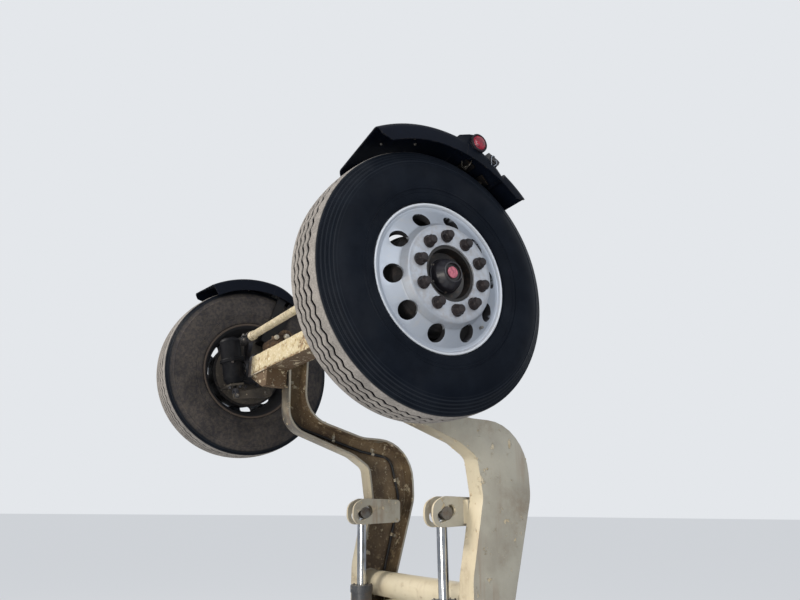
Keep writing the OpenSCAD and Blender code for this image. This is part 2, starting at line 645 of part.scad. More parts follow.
// Legs from the brake spider up over the tyre, each with a shelf that follows the fender's bend from below
leg_angle = [62.6, 72];
shelf_angle = [45.3, 64];
shelf_span = 10;
leg_x = kingpin_x + 38;
leg_t = 12;
leg_w = 56;
foot_r = 188;
foot_t = 10;
shelf_t = 8;
shelf_gap = 0.8;
shelf_start = leg_x + 8;
shelf_end = fender_x1 - 84;
function shelf_r(x) = bend_r - roof_fall * (fender_x1 - fender_t - x) / (fender_w - 2 * fender_t) - fender_t - shelf_gap;
module fender_bracket() {
  at_axle() for (k = [0, 1]) {
    intersection() {
      rotate([leg_angle[k], 0, 0]) translate([leg_x, foot_r, -leg_w / 2]) cube([leg_t, fender_r - foot_r, leg_w]);
      at_bend() rod_x(leg_x - 1, leg_x + leg_t + 1, shelf_r(leg_x) - shelf_t / 2);
    }
    at_bend() swept(shelf_angle[k] - shelf_span / 2, shelf_angle[k] + shelf_span / 2)
      polygon([[shelf_r(shelf_start), shelf_start], [shelf_r(shelf_end), shelf_end],
        [shelf_r(shelf_end) - shelf_t, shelf_end], [shelf_r(shelf_start) - shelf_t, shelf_start]]);
    rotate([leg_angle[k], 0, 0]) translate([leg_x, foot_r, -leg_w / 2]) cube([wheel_x + shield_at - leg_x, foot_t, leg_w]);
  }
}
module fender_bracket_right() { color(moulding) side(1) fender_bracket(); }
module fender_bracket_left() { color(moulding) side(-1) fender_bracket(); }

module marker_lamp() {
  at_axle() translate([fender_x1 - 30, lamp_at[0], lamp_at[1]]) rotate([0, 90, 0]) rotate_extrude()
    polygon(rounded([[0, 0, 0], [lamp_d / 2, 0, 0], [lamp_d / 2 + 5.6, 8, 0], [lamp_d / 2 + 5.6, 36, 3],
      [lamp_d / 2, 36, 0], [lamp_d / 2, 40, 6], [0, 46, 0]], 5));
}
module marker_lamp_right() { color([0.75, 0.05, 0.06]) side(1) marker_lamp(); }
module marker_lamp_left() { color([0.75, 0.05, 0.06]) side(-1) marker_lamp(); }

// Wheels, as sections [radius, distance outward from the middle of the tyre, corner radius]
function reversed(list) = [for (i = [len(list) - 1:-1:0]) list[i]];
function mirrored(pts) = [for (p = reversed(pts)) [p[0], -p[1], p[2]]];
tyre_out = [[tyre_r, tread_w * 0.25, 500], [tyre_r - 7, tread_w / 2, 10], [tyre_r - 52, tyre_w / 2 - 9, 60],
  [tyre_r - 115, tyre_w / 2 + 1.5, 90], [flange_r + 34, tyre_w / 2 - 8, 50], [flange_r + 1.5, rim_edge + 3, 5],
  [flange_r + 1, rim_half - 0.3, 2], [seat_r + 0.5, rim_half - 0.3, 4], [seat_r + 0.5, rim_half - 28, 3]];
tyre_in = [[seat_r + 18, rim_half - 26, 8], [flange_r + 22, tyre_w / 2 - 24, 20],
  [tyre_r - 115, tyre_w / 2 - 13, 80], [tyre_r - 42, tyre_w / 2 - 28, 40], [tyre_r - 22, tread_w * 0.25, 150]];
groove_at = [-66, -24, 24, 66];
module tyre() {
  at_wheel() difference() {
    rotate_extrude($fn = 120)
      polygon(rounded(concat(tyre_out, tyre_in, mirrored(tyre_in), mirrored(tyre_out)), 5));
    for (w = groove_at) translate([0, 0, w - groove_w / 2]) difference() {
      cylinder(h = groove_w, r = tyre_r + 5, $fn = 120);
      translate([0, 0, -1]) cylinder(h = groove_w + 2, r = tyre_r - groove_depth, $fn = 120);
    }
  }
}
module tyre_right() { color(rubber) side(1) tyre(); }
module tyre_left() { color(rubber) side(-1) tyre(); }

// Each wheel has stopped at a turn of its own
turn_right = 8.5;
turn_left = -2;
module stopped_at(turn) { translate(axle) rotate([turn, 0, 0]) translate(-axle) children(); }
drop_r = seat_r - 30;
barrel_t = 9;
disc_back = disc_outset - disc_t;
plateau_r = plateau_d / 2;
wheel_section = [[flange_r, rim_edge, 4], [flange_r, rim_half + 1.5, 4], [seat_r, rim_half, 3],
  [seat_r - 5, rim_half - 36, 6], [drop_r, rim_half - 60, 14], [drop_r, -40, 14], [seat_r - 6, 38 - rim_half, 6],
  [seat_r, -rim_half, 3], [flange_r, -rim_half - 1.5, 4], [flange_r, -rim_edge, 4],
  [flange_r - 9, -rim_edge, 5], [seat_r - barrel_t - 6, -rim_half + 8, 10], [drop_r - barrel_t, -30, 14],
  [drop_r - barrel_t, rim_half - 26, 20], [plateau_r + 20, disc_back - 38, 14], [plateau_r - 4, disc_back, 6],
  [pilot_d / 2, disc_back, 0], [pilot_d / 2, disc_outset, 0], [plateau_r, disc_outset, 8],
  [plateau_r + 17, disc_outset - 34, 14], [seat_r - 16, disc_outset - 65, 6], [seat_r - 3, rim_half + 2, 4],
  [flange_r - 9, rim_edge, 5]];
hand_tilt = 20;
module wheel() {
  at_wheel() difference() {
    rotate_extrude($fn = 120) polygon(rounded(wheel_section, 5));
    for (i = [0:hole_n - 1]) rotate([0, 0, 360 * i / hole_n]) {
      translate([nut_circle / 2, 0, disc_back - 1]) cylinder(h = disc_t + 2, r = 13, $fn = 24);
      rotate([0, 0, 180 / hole_n]) translate([hand_circle / 2, 0, disc_outset - 45]) rotate([0, hand_tilt, 0])
        cylinder(h = 120, d = hand_hole_d, center = true, $fn = 40);
    }
  }
}
module wheel_right() { color(alloy) stopped_at(turn_right) side(1) wheel(); }
module wheel_left() { color(alloy) stopped_at(turn_left) side(-1) wheel(); }

drum_flange_t = 12;
hub_face = disc_back - drum_flange_t;
module hub() {
  at_wheel() rotate_extrude() polygon([[spindle_r + fit, -35], [72, -35], [78, -20], [80, hub_face - 40],
    [110, hub_face - 24], [172, hub_face - 24], [172, hub_face], [pilot_d / 2 - 0.4, hub_face],
    [pilot_d / 2 - 0.4, disc_outset - 8], [pilot_d / 2 - 12, disc_outset - 8], [92, hub_face - 8],
    [72, spindle_end + 4], [spindle_r + fit, spindle_end + 4]]);
}
module hub_right() { color(hub_black) side(1) hub(); }
module hub_left() { color(hub_black) side(-1) hub(); }

drum_r = 208;
module brake_drum() {
  at_wheel() difference() {
    rotate_extrude() polygon([[pilot_d / 2, hub_face], [pilot_d / 2, disc_back], [drum_r - 28, disc_back],
      [drum_r - 8, disc_back - 48], [drum_r, disc_back - 56], [drum_r, -30], [drum_r + 10, -34],
      [drum_r + 10, -46], [drum_r - 14, -46], [drum_r - 14, disc_back - 60], [drum_r - 26, disc_back - 44],
      [174, hub_face]]);
    for (i = [0:hole_n - 1]) rotate([0, 0, 360 * i / hole_n])
      translate([nut_circle / 2, 0, hub_face - 1]) cylinder(h = drum_flange_t + 2, r = 13, $fn = 24);
  }
}
module brake_drum_right() { color(cast) stopped_at(turn_right) side(1) brake_drum(); }
module brake_drum_left() { color(cast) stopped_at(turn_left) side(-1) brake_drum(); }

cap_base = spindle_end + 4;
cap_out = disc_outset + 16;
module hub_cap() {
  at_wheel() rotate_extrude() polygon(rounded([[56, cap_base, 0], [68.5, cap_base, 0], [68.5, cap_base + 9, 2],
    [64, cap_base + 12, 2], [61, cap_base + 34, 16], [41, cap_out - 4, 5], [37, cap_out, 1], [23, cap_out, 0],
    [23, cap_out - 4, 0], [0, cap_out - 4, 0], [0, cap_out - 10, 0], [32, cap_out - 10, 3],
    [53, cap_base + 30, 14], [56, cap_base + 10, 3]], 4));
}
module hub_cap_right() { color(hub_black) side(1) hub_cap(); }
module hub_cap_left() { color(hub_black) side(-1) hub_cap(); }

module wheel_nuts() {
  at_wheel() for (i = [0:hole_n - 1]) rotate([0, 0, 360 * i / hole_n]) translate([nut_circle / 2, 0, 0]) {
    translate([0, 0, hub_face]) cylinder(h = disc_outset - hub_face + 4, r = 11, $fn = 24);
    translate([0, 0, disc_outset]) rotate_extrude($fn = 30)
      polygon([[0, 0], [22, 0], [22, 4], [17, 6], [16, 22], [9, 32], [0, 32]]);
  }
}
module wheel_nuts_right() { color(cast) stopped_at(turn_right) side(1) wheel_nuts(); }
module wheel_nuts_left() { color(cast) stopped_at(turn_left) side(-1) wheel_nuts(); }

module tie_rod() {
  ball_x = kingpin_x;
  at_h = 20;
  color(crust) at_axle() rotate([caster - lift_travel, 0, 0]) translate([0, -steer_arm_back, ball_z]) difference() {
    union() {
      rod_x(-ball_x + 120, ball_x - 120, tie_rod_d / 2);
      both_sides() {
        rod_x(ball_x - 200, ball_x - 118, tie_rod_d / 2 + 5);
        rod_x(ball_x - 122, ball_x - 18, 15);
        translate([ball_x, 0, -at_h]) cylinder(h = 2 * at_h, r = 27);
      }
    }
    both_sides() translate([ball_x, 0, -at_h - 1]) cylinder(h = 2 * at_h + 2, r = ball_r + fit);
  }
}

mounting_plate();
hinge_lugs();
cylinder_lugs();
pivot_pins();
base_pins();
arm_right();
arm_left();
torsion_tube();
axle_beam();
axle_ends();
kingpins();
rod_brackets();
steer_lock();
arm_hoses();
hose_clips();
barrel_right();
barrel_left();
rod_right();
rod_left();
eye_pin_right();
eye_pin_left();
knuckle_right();
knuckle_left();
brake_spider_right();
brake_spider_left();
brake_chamber_right();
brake_chamber_left();
fender_right();
fender_left();
fender_bracket_right();
fender_bracket_left();
marker_lamp_right();
marker_lamp_left();
tyre_right();
tyre_left();
wheel_right();
wheel_left();
hub_right();
hub_left();
brake_drum_right();
brake_drum_left();
hub_cap_right();
hub_cap_left();
wheel_nuts_right();
wheel_nuts_left();
tie_rod();
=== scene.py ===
"""Raised booster axle of a concrete mixer truck: looks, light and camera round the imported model."""

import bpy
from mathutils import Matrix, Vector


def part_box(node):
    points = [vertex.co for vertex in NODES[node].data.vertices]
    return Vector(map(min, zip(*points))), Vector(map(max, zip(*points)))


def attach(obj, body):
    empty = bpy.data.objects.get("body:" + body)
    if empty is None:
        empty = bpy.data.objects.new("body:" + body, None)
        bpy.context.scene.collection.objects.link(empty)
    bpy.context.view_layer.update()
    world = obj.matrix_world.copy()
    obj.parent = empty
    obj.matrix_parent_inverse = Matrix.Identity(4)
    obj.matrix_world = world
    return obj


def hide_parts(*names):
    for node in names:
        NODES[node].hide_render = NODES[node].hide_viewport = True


bl_info = {
    "name": "Booster Axle Dressing",
    "version": (1, 0, 0),
    "blender": (4, 5, 0),
    "location": "3D View > Sidebar > Booster",
    "description": "Tyres, wheels, fenders, concrete crust, fittings and finishes of a raised booster axle",
    "category": "Object",
}

from math import acos, atan2, cos, pi, radians, sin, sqrt, tan

import bmesh
import bpy
from bpy.props import FloatProperty, FloatVectorProperty, IntProperty, PointerProperty
from mathutils import Matrix, Vector, noise
from mathutils.bvhtree import BVHTree

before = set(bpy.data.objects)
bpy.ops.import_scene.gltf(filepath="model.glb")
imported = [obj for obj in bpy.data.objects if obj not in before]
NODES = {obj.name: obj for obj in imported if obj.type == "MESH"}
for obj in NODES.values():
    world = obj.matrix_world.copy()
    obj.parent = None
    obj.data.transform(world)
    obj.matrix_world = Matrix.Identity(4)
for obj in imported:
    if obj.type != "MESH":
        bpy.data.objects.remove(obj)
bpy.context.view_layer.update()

SIDES = {"right": 1.0, "left": -1.0}
MM = 0.001
X, Y, Z = Vector((1, 0, 0)), Vector((0, 1, 0)), Vector((0, 0, 1))
PIVOT = Vector((0.0, -0.19, 0.1))
AXLE = Vector((0.0, -0.85, 1.52))
WHEEL_X = 1.0
WHEEL_TURN = {"right": radians(26.5), "left": radians(16.0)}
KINGPIN_X = 0.8
BEAM_END = 0.7
BEAM_REAR, BEAM_LOW, BEAM_HIGH = AXLE.y - 0.0615, AXLE.z - 0.07, AXLE.z + 0.04
BEAM_DEEP = 0.127
LAMP = AXLE + Vector((1.14, 0.1534, 0.6018))


def shift(x, y, z):
    return Matrix.Translation((x, y, z))


def spin(angle, axis="X"):
    return Matrix.Rotation(angle, 4, axis)


LEAN = spin(radians(-78.0))
KINGPIN = shift(KINGPIN_X, AXLE.y, AXLE.z) @ LEAN
BALL_STUD = shift(0, -0.167, -0.067)
TIE_ROD = shift(*AXLE) @ LEAN @ BALL_STUD
BASE_PIN = shift(0.375, PIVOT.y - 0.11, PIVOT.z - 0.23) @ spin(atan2(0.81, -0.02))
CAMSHAFT = KINGPIN @ shift(-0.036, 0.0, -0.16)
STEER_LOCK = shift(*(AXLE + Vector((-0.35, -0.005, 0.092))))


def srgb(r, g, b):
    """A screen colour as the linear colour that Blender's sockets take."""
    return tuple(
        (c / 255 / 12.92) if c <= 10 else ((c / 255 + 0.055) / 1.055) ** 2.4
        for c in (r, g, b)
    )


# Settings


def length(label, text, default):
    return FloatProperty(name=label, description=text, default=default, unit="LENGTH")


def angle(label, text, degrees):
    return FloatProperty(name=label, description=text, default=radians(degrees), unit="ROTATION")


def count(label, text, default, low, high):
    return IntProperty(name=label, description=text, default=default, min=low, max=high)


def colour(label, text, *rgb):
    return FloatVectorProperty(name=label, description=text, default=srgb(*rgb), subtype="COLOR")


class WheelSettings(bpy.types.PropertyGroup):
    tyre_radius: length("Tyre radius", "Radius at the crown of the tread", 0.527)
    tread_pitches: count("Tread pitches", "Zigzags of a groove once round the tyre", 65, 40, 90)
    groove_depth: length("Groove depth", "Depth of the four tread grooves", 0.013)
    groove_swing: length("Groove swing", "How far a groove swings to each side", 0.0055)
    hole_count: count("Holes", "Number of wheel nuts and of hand holes", 10, 8, 10)
    nut_circle: length("Nut circle", "Radius of the circle of wheel nuts", 0.142875)
    hand_circle: length("Hand hole circle", "Radius of the circle of hand holes", 0.228)
    hand_hole: length("Hand hole", "Diameter of a hand hole", 0.072)


class CrustSettings(bpy.types.PropertyGroup):
    thickness: length("Crust", "Thickest patch of set concrete", 0.005)
    lumps: FloatProperty(name="Lumps", description="Splashed lumps to the square metre", default=520.0, min=0.0)
    lump_size: length("Lump size", "Largest radius of a splashed lump", 0.006)


class FinishSettings(bpy.types.PropertyGroup):
    paint: colour("Paint", "Off-white enamel of the arms", 214, 202, 174)
    soil: colour("Soil", "Brown road dirt", 112, 88, 62)
    concrete: colour("Concrete", "Set concrete", 206, 190, 158)
    # The tyre rubber's blue tint is a painted reflection of blue sky; its darkness is the rubber's own.
    rubber: colour("Rubber", "Tyre rubber", 10, 15, 23)
    alloy: colour("Alloy", "Polished aluminium of the wheels", 178, 184, 193)
    moulding: colour("Moulding", "Black plastic of the fenders", 7, 12, 21)
    lens: colour("Lens", "Red lens of the marker lamps", 150, 4, 40)


class StageSettings(bpy.types.PropertyGroup):
    floor: length("Floor", "Height of the floor", -0.88)
    lens: FloatProperty(name="Lens", description="Focal length of the camera in mm", default=28.8, min=10.0)
    bearing: angle("Bearing", "Way that the camera looks", 57.16)
    rise: angle("Rise", "Angle that the camera looks up", 18.461)
    roll: angle("Roll", "Turn of the camera about its view", 0.462)
    place: FloatVectorProperty(
        name="Place", description="Where the camera stands", subtype="TRANSLATION", default=(2.924, -2.206, 0.676)
    )


# Node trees


def colour4(value):
    """A colour with its alpha; a socket stays as it is."""
    return value if isinstance(value, bpy.types.NodeSocket) else (*value[:3], 1.0)


class Net:
    """Adds nodes to a tree. Values go to sockets by name or number, and a socket given as a value is linked."""

    def __init__(self, tree):
        self.tree = tree

    def put(self, node, values):
        for key, value in values.items():
            if isinstance(value, bpy.types.NodeSocket):
                self.tree.links.new(value, node.inputs[key])
            else:
                node.inputs[key].default_value = value
        return node

    def add(self, kind, values=None, **settings):
        node = self.tree.nodes.new(kind)
        for key, value in settings.items():
            setattr(node, key, value)
        return self.put(node, values or {})

    def out(self, kind, values=None, **settings):
        return self.add(kind, values, **settings).outputs[0]

    def sum(self, operation, *values):
        return self.out("ShaderNodeMath", dict(enumerate(values)), operation=operation)

    def times(self, value, *others):
        for other in others:
            value = self.sum("MULTIPLY", value, other)
        return value

    def span(self, value, low, high, to_low=0.0, to_high=1.0, kind="SMOOTHSTEP"):
        values = {"Value": value, "From Min": low, "From Max": high, "To Min": to_low, "To Max": to_high}
        return self.out("ShaderNodeMapRange", values, interpolation_type=kind)

    def ramp(self, *values):
        return self.span(*values, kind="LINEAR")

    def mix(self, factor, a, b):
        return self.out("ShaderNodeMix", {0: factor, 2: a, 3: b}, data_type="FLOAT")

    def tint(self, factor, a, b):
        values = {0: factor, 6: colour4(a), 7: colour4(b)}
        return self.add("ShaderNodeMix", values, data_type="RGBA").outputs[2]

    def grain(self, vector, size, detail=4.0, rough=0.6):
        scale = self.sum("DIVIDE", 1.0, size) if isinstance(size, bpy.types.NodeSocket) else 1.0 / size
        values = {"Vector": vector, "Scale": scale, "Detail": detail, "Roughness": rough}
        return self.out("ShaderNodeTexNoise", values)

    def split(self, vector):
        return self.add("ShaderNodeSeparateXYZ", {"Vector": vector}).outputs

    def turned(self, vector, operation, other):
        """A vector scaled by a value, or less a vector."""
        values = {0: vector, "Scale" if operation == "SCALE" else 1: other}
        return self.out("ShaderNodeVectorMath", values, operation=operation)


def bare(owner):
    """The emptied node tree of a material or world."""
    owner.use_nodes = True
    owner.node_tree.nodes.clear()
    return Net(owner.node_tree)


def set_concrete(net, take):
    """Patches of splashed concrete that has set on a surface, with their height."""
    place, amount = take["Vector"], take["Amount"]
    broad = net.grain(place, take["Size"], 7.0, 0.68)
    fine = net.grain(place, 0.006, 5.0, 0.7)
    spots = net.out("ShaderNodeTexVoronoi", {"Vector": place, "Scale": 62.0, "Randomness": 1.0})
    edge = net.ramp(net.sum("SUBTRACT", 1.0, amount), 0.0, 1.0, 0.3, 0.7)
    patch = net.span(broad, edge, net.sum("ADD", edge, 0.035))
    dot_edge = net.ramp(amount, 0.0, 1.0, 0.05, 0.36)
    dots = net.span(spots, dot_edge, net.times(dot_edge, 0.6))
    mask = net.sum("MAXIMUM", patch, net.times(dots, 0.85))
    shade = net.tint(net.span(fine, 0.3, 0.7), srgb(150, 132, 102), take["Concrete"])
    shade = net.tint(net.span(net.grain(place, 0.09, 3.0), 0.35, 0.7, 0.0, 0.55), shade, srgb(228, 217, 192))
    height = net.times(mask, net.sum("MULTIPLY_ADD", fine, 0.55, 0.6))
    return net.tint(mask, take["Colour"], shade), net.mix(mask, take["Roughness"], 0.92), height


def road_dirt(net, take):
    """Brown film and dust that thickens in patches."""
    cloud = net.grain(take["Vector"], take["Size"], 6.0, 0.66)
    fine = net.grain(take["Vector"], 0.004, 3.0, 0.7)
    reach = net.sum("MULTIPLY_ADD", take["Amount"], -0.75, 0.85)
    mask = net.span(net.sum("MULTIPLY_ADD", fine, 0.18, cloud), reach, net.sum("ADD", reach, 0.34))
    mask = net.times(mask, net.ramp(take["Amount"], 0.0, 0.6, 0.25, 0.95))
    return net.tint(mask, take["Colour"], take["Dirt"]), net.mix(mask, take["Roughness"], 0.88)


def edge_wear(net, take):
    """A soft round on sharp edges, and a mask where the finish has rubbed through there."""
    soft = net.out("ShaderNodeBevel", {"Radius": take["Radius"]}, samples=4)
    true = net.add("ShaderNodeNewGeometry").outputs["True Normal"]
    facing = net.add("ShaderNodeVectorMath", {0: soft, 1: true}, operation="DOT_PRODUCT").outputs["Value"]
    chips = net.grain(take["Vector"], take["Break-up"], 5.0, 0.7)
    return net.times(net.span(facing, 0.985, 0.85), net.span(chips, 0.45, 0.62)), soft


def run_marks(net, take):
    """Stains that water has drawn down a surface."""
    drawn = net.out("ShaderNodeMapping", {"Vector": take["Vector"], "Scale": (26.0, 26.0, 1.6)})
    broad = net.grain(take["Vector"], 0.35, 2.0)
    mask = net.times(net.span(net.grain(drawn, 1.0), 0.5, 0.74), net.span(broad, 0.38, 0.62), take["Amount"])
    return [net.tint(mask, take["Colour"], take["Stain"])]


def ring_of_copies(net, take):
    """Copies of the object's own mesh in a ring about the X axis, joined."""
    line = net.out("GeometryNodeMeshLine", {"Count": take["Copies"], "Offset": (0.0, 0.0, 0.0)})
    step = net.sum("DIVIDE", 2 * pi, take["Copies"])
    turn = net.out("ShaderNodeCombineXYZ", {0: net.times(net.out("GeometryNodeInputIndex"), step)})
    copies = {"Points": line, "Instance": take["Geometry"], "Rotation": turn}
    real = net.out("GeometryNodeRealizeInstances", {0: net.out("GeometryNodeInstanceOnPoints", copies)})
    return net.out("GeometryNodeMergeByDistance", {"Geometry": real, "Distance": take["Join"]})


def heads_on_points(net, take):
    """One head at each point of the mesh, standing along the point's aim."""
    head = net.add("GeometryNodeObjectInfo", {"Object": take["Head"], "As Instance": True}).outputs["Geometry"]
    aim = net.out("GeometryNodeInputNamedAttribute", {"Name": "aim"}, data_type="FLOAT_VECTOR")
    turn = net.out("FunctionNodeAlignRotationToVector", {"Vector": aim}, axis="Z")
    size = net.out("GeometryNodeInputNamedAttribute", {"Name": "size"}, data_type="FLOAT")
    copies = {"Points": take["Geometry"], "Instance": head, "Rotation": turn, "Scale": size}
    return net.out("GeometryNodeInstanceOnPoints", copies)


def weld_bead(net, take):
    """A rippled weld bead along the edges of the mesh."""
    seam = net.out("GeometryNodeMeshToCurve", {"Mesh": take["Geometry"]})
    dots = net.out("GeometryNodeResampleCurve", {"Curve": seam, "Length": take["Spacing"]}, mode="LENGTH")
    profile = {"Resolution": 8, "Radius": take["Radius"]}
    circle = net.out("GeometryNodeCurvePrimitiveCircle", profile, mode="RADIUS")
    tube = net.out("GeometryNodeCurveToMesh", {"Curve": dots, "Profile Curve": circle, "Fill Caps": True})
    place = net.out("GeometryNodeInputPosition")
    rough = net.out("ShaderNodeTexNoise", {"Vector": place, "Scale": 170.0, "Detail": 1.0})
    push = net.times(net.sum("SUBTRACT", rough, 0.5), net.times(take["Ripple"], 3.0))
    offset = net.turned(net.out("GeometryNodeInputNormal"), "SCALE", push)
    return net.out("GeometryNodeSetPosition", {"Geometry": tube, "Offset": offset})


def splashed_lumps(net, take):
    """Lumps of splashed concrete scattered over the mesh, which itself isn't kept."""
    spread = {"Mesh": take["Geometry"], "Density": take["Density"], "Seed": take["Seed"]}
    dots = net.add("GeometryNodeDistributePointsOnFaces", spread).outputs
    ball = net.out("GeometryNodeMeshIcoSphere", {"Radius": 1.0, "Subdivisions": 2})
    draw = {2: 0.0, 3: 1.0, "Seed": take["Seed"]}
    pick = net.add("FunctionNodeRandomValue", draw, data_type="FLOAT").outputs[1]
    size = net.times(net.sum("MULTIPLY_ADD", net.sum("POWER", pick, 3.0), 0.8, 0.2), take["Largest"])
    scale = net.out("ShaderNodeCombineXYZ", {0: size, 1: net.times(size, 1.3), 2: net.times(size, 0.55)})
    copies = {"Points": dots["Points"], "Instance": ball, "Rotation": dots["Rotation"], "Scale": scale}
    real = net.out("GeometryNodeRealizeInstances", {0: net.out("GeometryNodeInstanceOnPoints", copies)})
    place = net.out("GeometryNodeInputPosition")
    rough = net.add("ShaderNodeTexNoise", {"Vector": place, "Scale": 260.0, "Detail": 2.0}).outputs["Color"]
    centred = net.turned(rough, "SUBTRACT", (0.5, 0.5, 0.5))
    offset = net.turned(centred, "SCALE", net.times(take["Largest"], 0.9))
    return net.out("GeometryNodeSetPosition", {"Geometry": real, "Offset": offset})


GREY = (0.5, 0.5, 0.5, 1)
# Each group: what builds it, its inputs with their defaults, and its outputs.
GROUPS = {
    "Set concrete": (set_concrete, {
        "Colour": GREY, "Roughness": 0.5, "Concrete": (0.6, 0.5, 0.35, 1), "Amount": 0.5, "Size": 0.05,
        "Vector": None,
    }, ("Colour", "Roughness", "Height")),
    "Road dirt": (road_dirt, {
        "Colour": GREY, "Roughness": 0.5, "Dirt": (0.15, 0.1, 0.06, 1), "Amount": 0.5, "Size": 0.2,
        "Vector": None,
    }, ("Colour", "Roughness")),
    "Edge wear": (edge_wear, {"Radius": 0.003, "Break-up": 0.02, "Vector": None}, ("Mask", "Normal")),
    "Run marks": (run_marks, {
        "Colour": GREY, "Stain": (0.2, 0.12, 0.06, 1), "Amount": 0.5, "Vector": None}, ("Colour",)),
    "Ring of copies": (ring_of_copies, {"Copies": 10, "Join": 0.00001}, ()),
    "Fasteners": (heads_on_points, {"Head": None}, ()),
    "Weld bead": (weld_bead, {"Radius": 0.004, "Spacing": 0.006, "Ripple": 0.0012}, ()),
    "Splashed lumps": (splashed_lumps, {"Density": 400.0, "Largest": 0.006, "Seed": 3}, ()),
}
KINDS = {
    "Colour": "Color", "Concrete": "Color", "Dirt": "Color", "Stain": "Color", "Vector": "Vector",
    "Normal": "Vector", "Geometry": "Geometry", "Material": "Material", "Head": "Object", "Copies": "Int",
    "Seed": "Int",
}
TREES = {}


def group(name):
    """The node group of that name, built at its first use; one with no outputs listed is a geometry tree."""
    if name in TREES:
        return TREES[name]
    build, takes, gives = GROUPS[name]
    solid = not gives
    if solid:
        takes, gives = {"Geometry": None, **takes, "Material": None}, ("Geometry",)
    TREES[name] = tree = bpy.data.node_groups.new(name, "GeometryNodeTree" if solid else "ShaderNodeTree")
    for way, labels in (("INPUT", takes), ("OUTPUT", dict.fromkeys(gives))):
        for label, default in labels.items():
            kind = "NodeSocket" + KINDS.get(label, "Float")
            item = tree.interface.new_socket(label, in_out=way, socket_type=kind)
            if default is not None:
                item.default_value = default
    net = Net(tree)
    take = net.add("NodeGroupInput").outputs
    made = build(net, take)
    if solid:
        real = net.out("GeometryNodeRealizeInstances", {"Geometry": made})
        made = [net.out("GeometryNodeSetMaterial", {"Geometry": real, "Material": take["Material"]})]
    net.add("NodeGroupOutput", dict(zip(gives, made)))
    return tree


class Finish:
    """One material: its colour and roughness pass through the shared effects in turn."""

    def __init__(self, name, tone, rough):
        self.look = bpy.context.scene.booster_finish
        self.material = bpy.data.materials.new(name)
        self.net = bare(self.material)
        self.vector = self.net.add("ShaderNodeTexCoord").outputs["Object"]
        self.colour = self.tone(tone)
        self.rough = rough
        self.metallic = 0.0
        self.heights = []
        self.normal = None

    def tone(self, value):
        """A linear colour from a screen colour or from the name of a setting."""
        return colour4(getattr(self.look, value) if isinstance(value, str) else srgb(*value))

    def effect(self, name, **values):
        values = {"Vector": self.vector, "Colour": self.colour, "Roughness": self.rough, **values}
        node = self.net.add("ShaderNodeGroup", node_tree=group(name))
        self.net.put(node, {key: value for key, value in values.items() if key in node.inputs})
        self.colour = node.outputs.get("Colour", self.colour)
        self.rough = node.outputs.get("Roughness", self.rough)
        return node.outputs

    def grain(self, *settings):
        return self.net.grain(self.vector, *settings)

    def blend(self, mask, tone):
        """Lays another colour over the first where the mask is high."""
        other = tone if isinstance(tone, bpy.types.NodeSocket) else self.tone(tone)
        self.colour = self.net.tint(mask, self.colour, other)

    def mottle(self, tone, size, low=0.35, high=0.65, detail=4.0, amount=1.0):
        self.blend(self.net.span(self.grain(size, detail), low, high, 0.0, amount), tone)

    def scuff(self, size, low, high):
        """Varies the roughness between two values."""
        self.rough = self.net.ramp(self.grain(size), 0.3, 0.7, low, high)

    def texture(self, size, depth, detail=3.0, rough=0.6):
        self.heights.append((self.grain(size, detail, rough), depth))

    def concrete(self, amount, size=0.05, depth=0.002, tone="concrete"):
        out = self.effect("Set concrete", Concrete=self.tone(tone), Amount=amount, Size=size)
        self.heights.append((out["Height"], depth))

    def dirt(self, tone, amount, size=0.2):
        self.effect("Road dirt", Dirt=self.tone(tone), Amount=amount, Size=size)

    def stains(self, tone, amount):
        self.effect("Run marks", Stain=self.tone(tone), Amount=amount)

    def worn(self, tone, radius, amount):
        out = self.effect("Edge wear", Radius=radius)
        self.normal = out["Normal"]
        self.blend(self.net.times(out["Mask"], amount), tone)

    def across(self):
        """How much the surface looks along X, from 0 to 1."""
        normal = self.net.add("ShaderNodeTexCoord").outputs["Normal"]
        return self.net.sum("ABSOLUTE", self.net.split(normal)[0])

    def wheel_place(self):
        """Distance from the wheel's axis, and distance outward from the wheel's middle."""
        net = self.net
        self.vector = net.out("ShaderNodeMapping", {"Vector": self.vector, "Location": (0.0, -AXLE.y, -AXLE.z)})
        x, y, z = net.split(self.vector)
        radius = net.sum("SQRT", net.sum("ADD", net.sum("POWER", y, 2.0), net.sum("POWER", z, 2.0)))
        return radius, net.sum("SUBTRACT", net.sum("ABSOLUTE", x), WHEEL_X)

    def waves(self, value, period):
        return self.net.sum("SINE", self.net.times(value, 2.0 * pi / period))

    def done(self, settings):
        values = {"Base Color": self.colour, "Roughness": self.rough, "Metallic": self.metallic, **settings}
        for socket, depth in self.heights:
            bump = self.net.add("ShaderNodeBump", {"Height": socket, "Distance": depth, "Strength": 1.0})
            if self.normal is not None:
                self.net.put(bump, {"Normal": self.normal})
            self.normal = bump.outputs[0]
        if self.normal is not None:
            values["Normal"] = self.normal
        shader = self.net.add("ShaderNodeBsdfPrincipled", values)
        self.net.add("ShaderNodeOutputMaterial", {"Surface": shader.outputs[0]})
        return self.material


def painted_web_shade(f):
    """Greys the flat side of the channel as painted shade, on the faces that look along X."""
    web = f.net.tint(f.net.span(f.grain(0.3, 5.0), 0.35, 0.68), srgb(172, 167, 152), srgb(150, 144, 130))
    f.blend(f.net.span(f.across(), 0.5, 0.75), web)


def painted_flange_shade(f):
    """Paints shade, broken up in patches, on the outer faces of the flanges, most of all towards the axle."""
    net = f.net
    edge = net.times(net.span(f.across(), 0.75, 0.5), net.span(f.grain(0.12, 5.0), 0.25, 0.6, 0.75, 0.98))
    f.blend(net.times(edge, net.span(net.split(f.vector)[2], 0.9, 1.15, 0.12, 1.0)), (70, 67, 65))


# Paints shade, a darker brown, below the beam's lower edge, on its underside and gussets.
def painted_underside_shade(f):
    f.blend(f.net.span(f.net.split(f.vector)[2], 1.4525, 1.4505, 0.0, 0.92), (84, 65, 45))


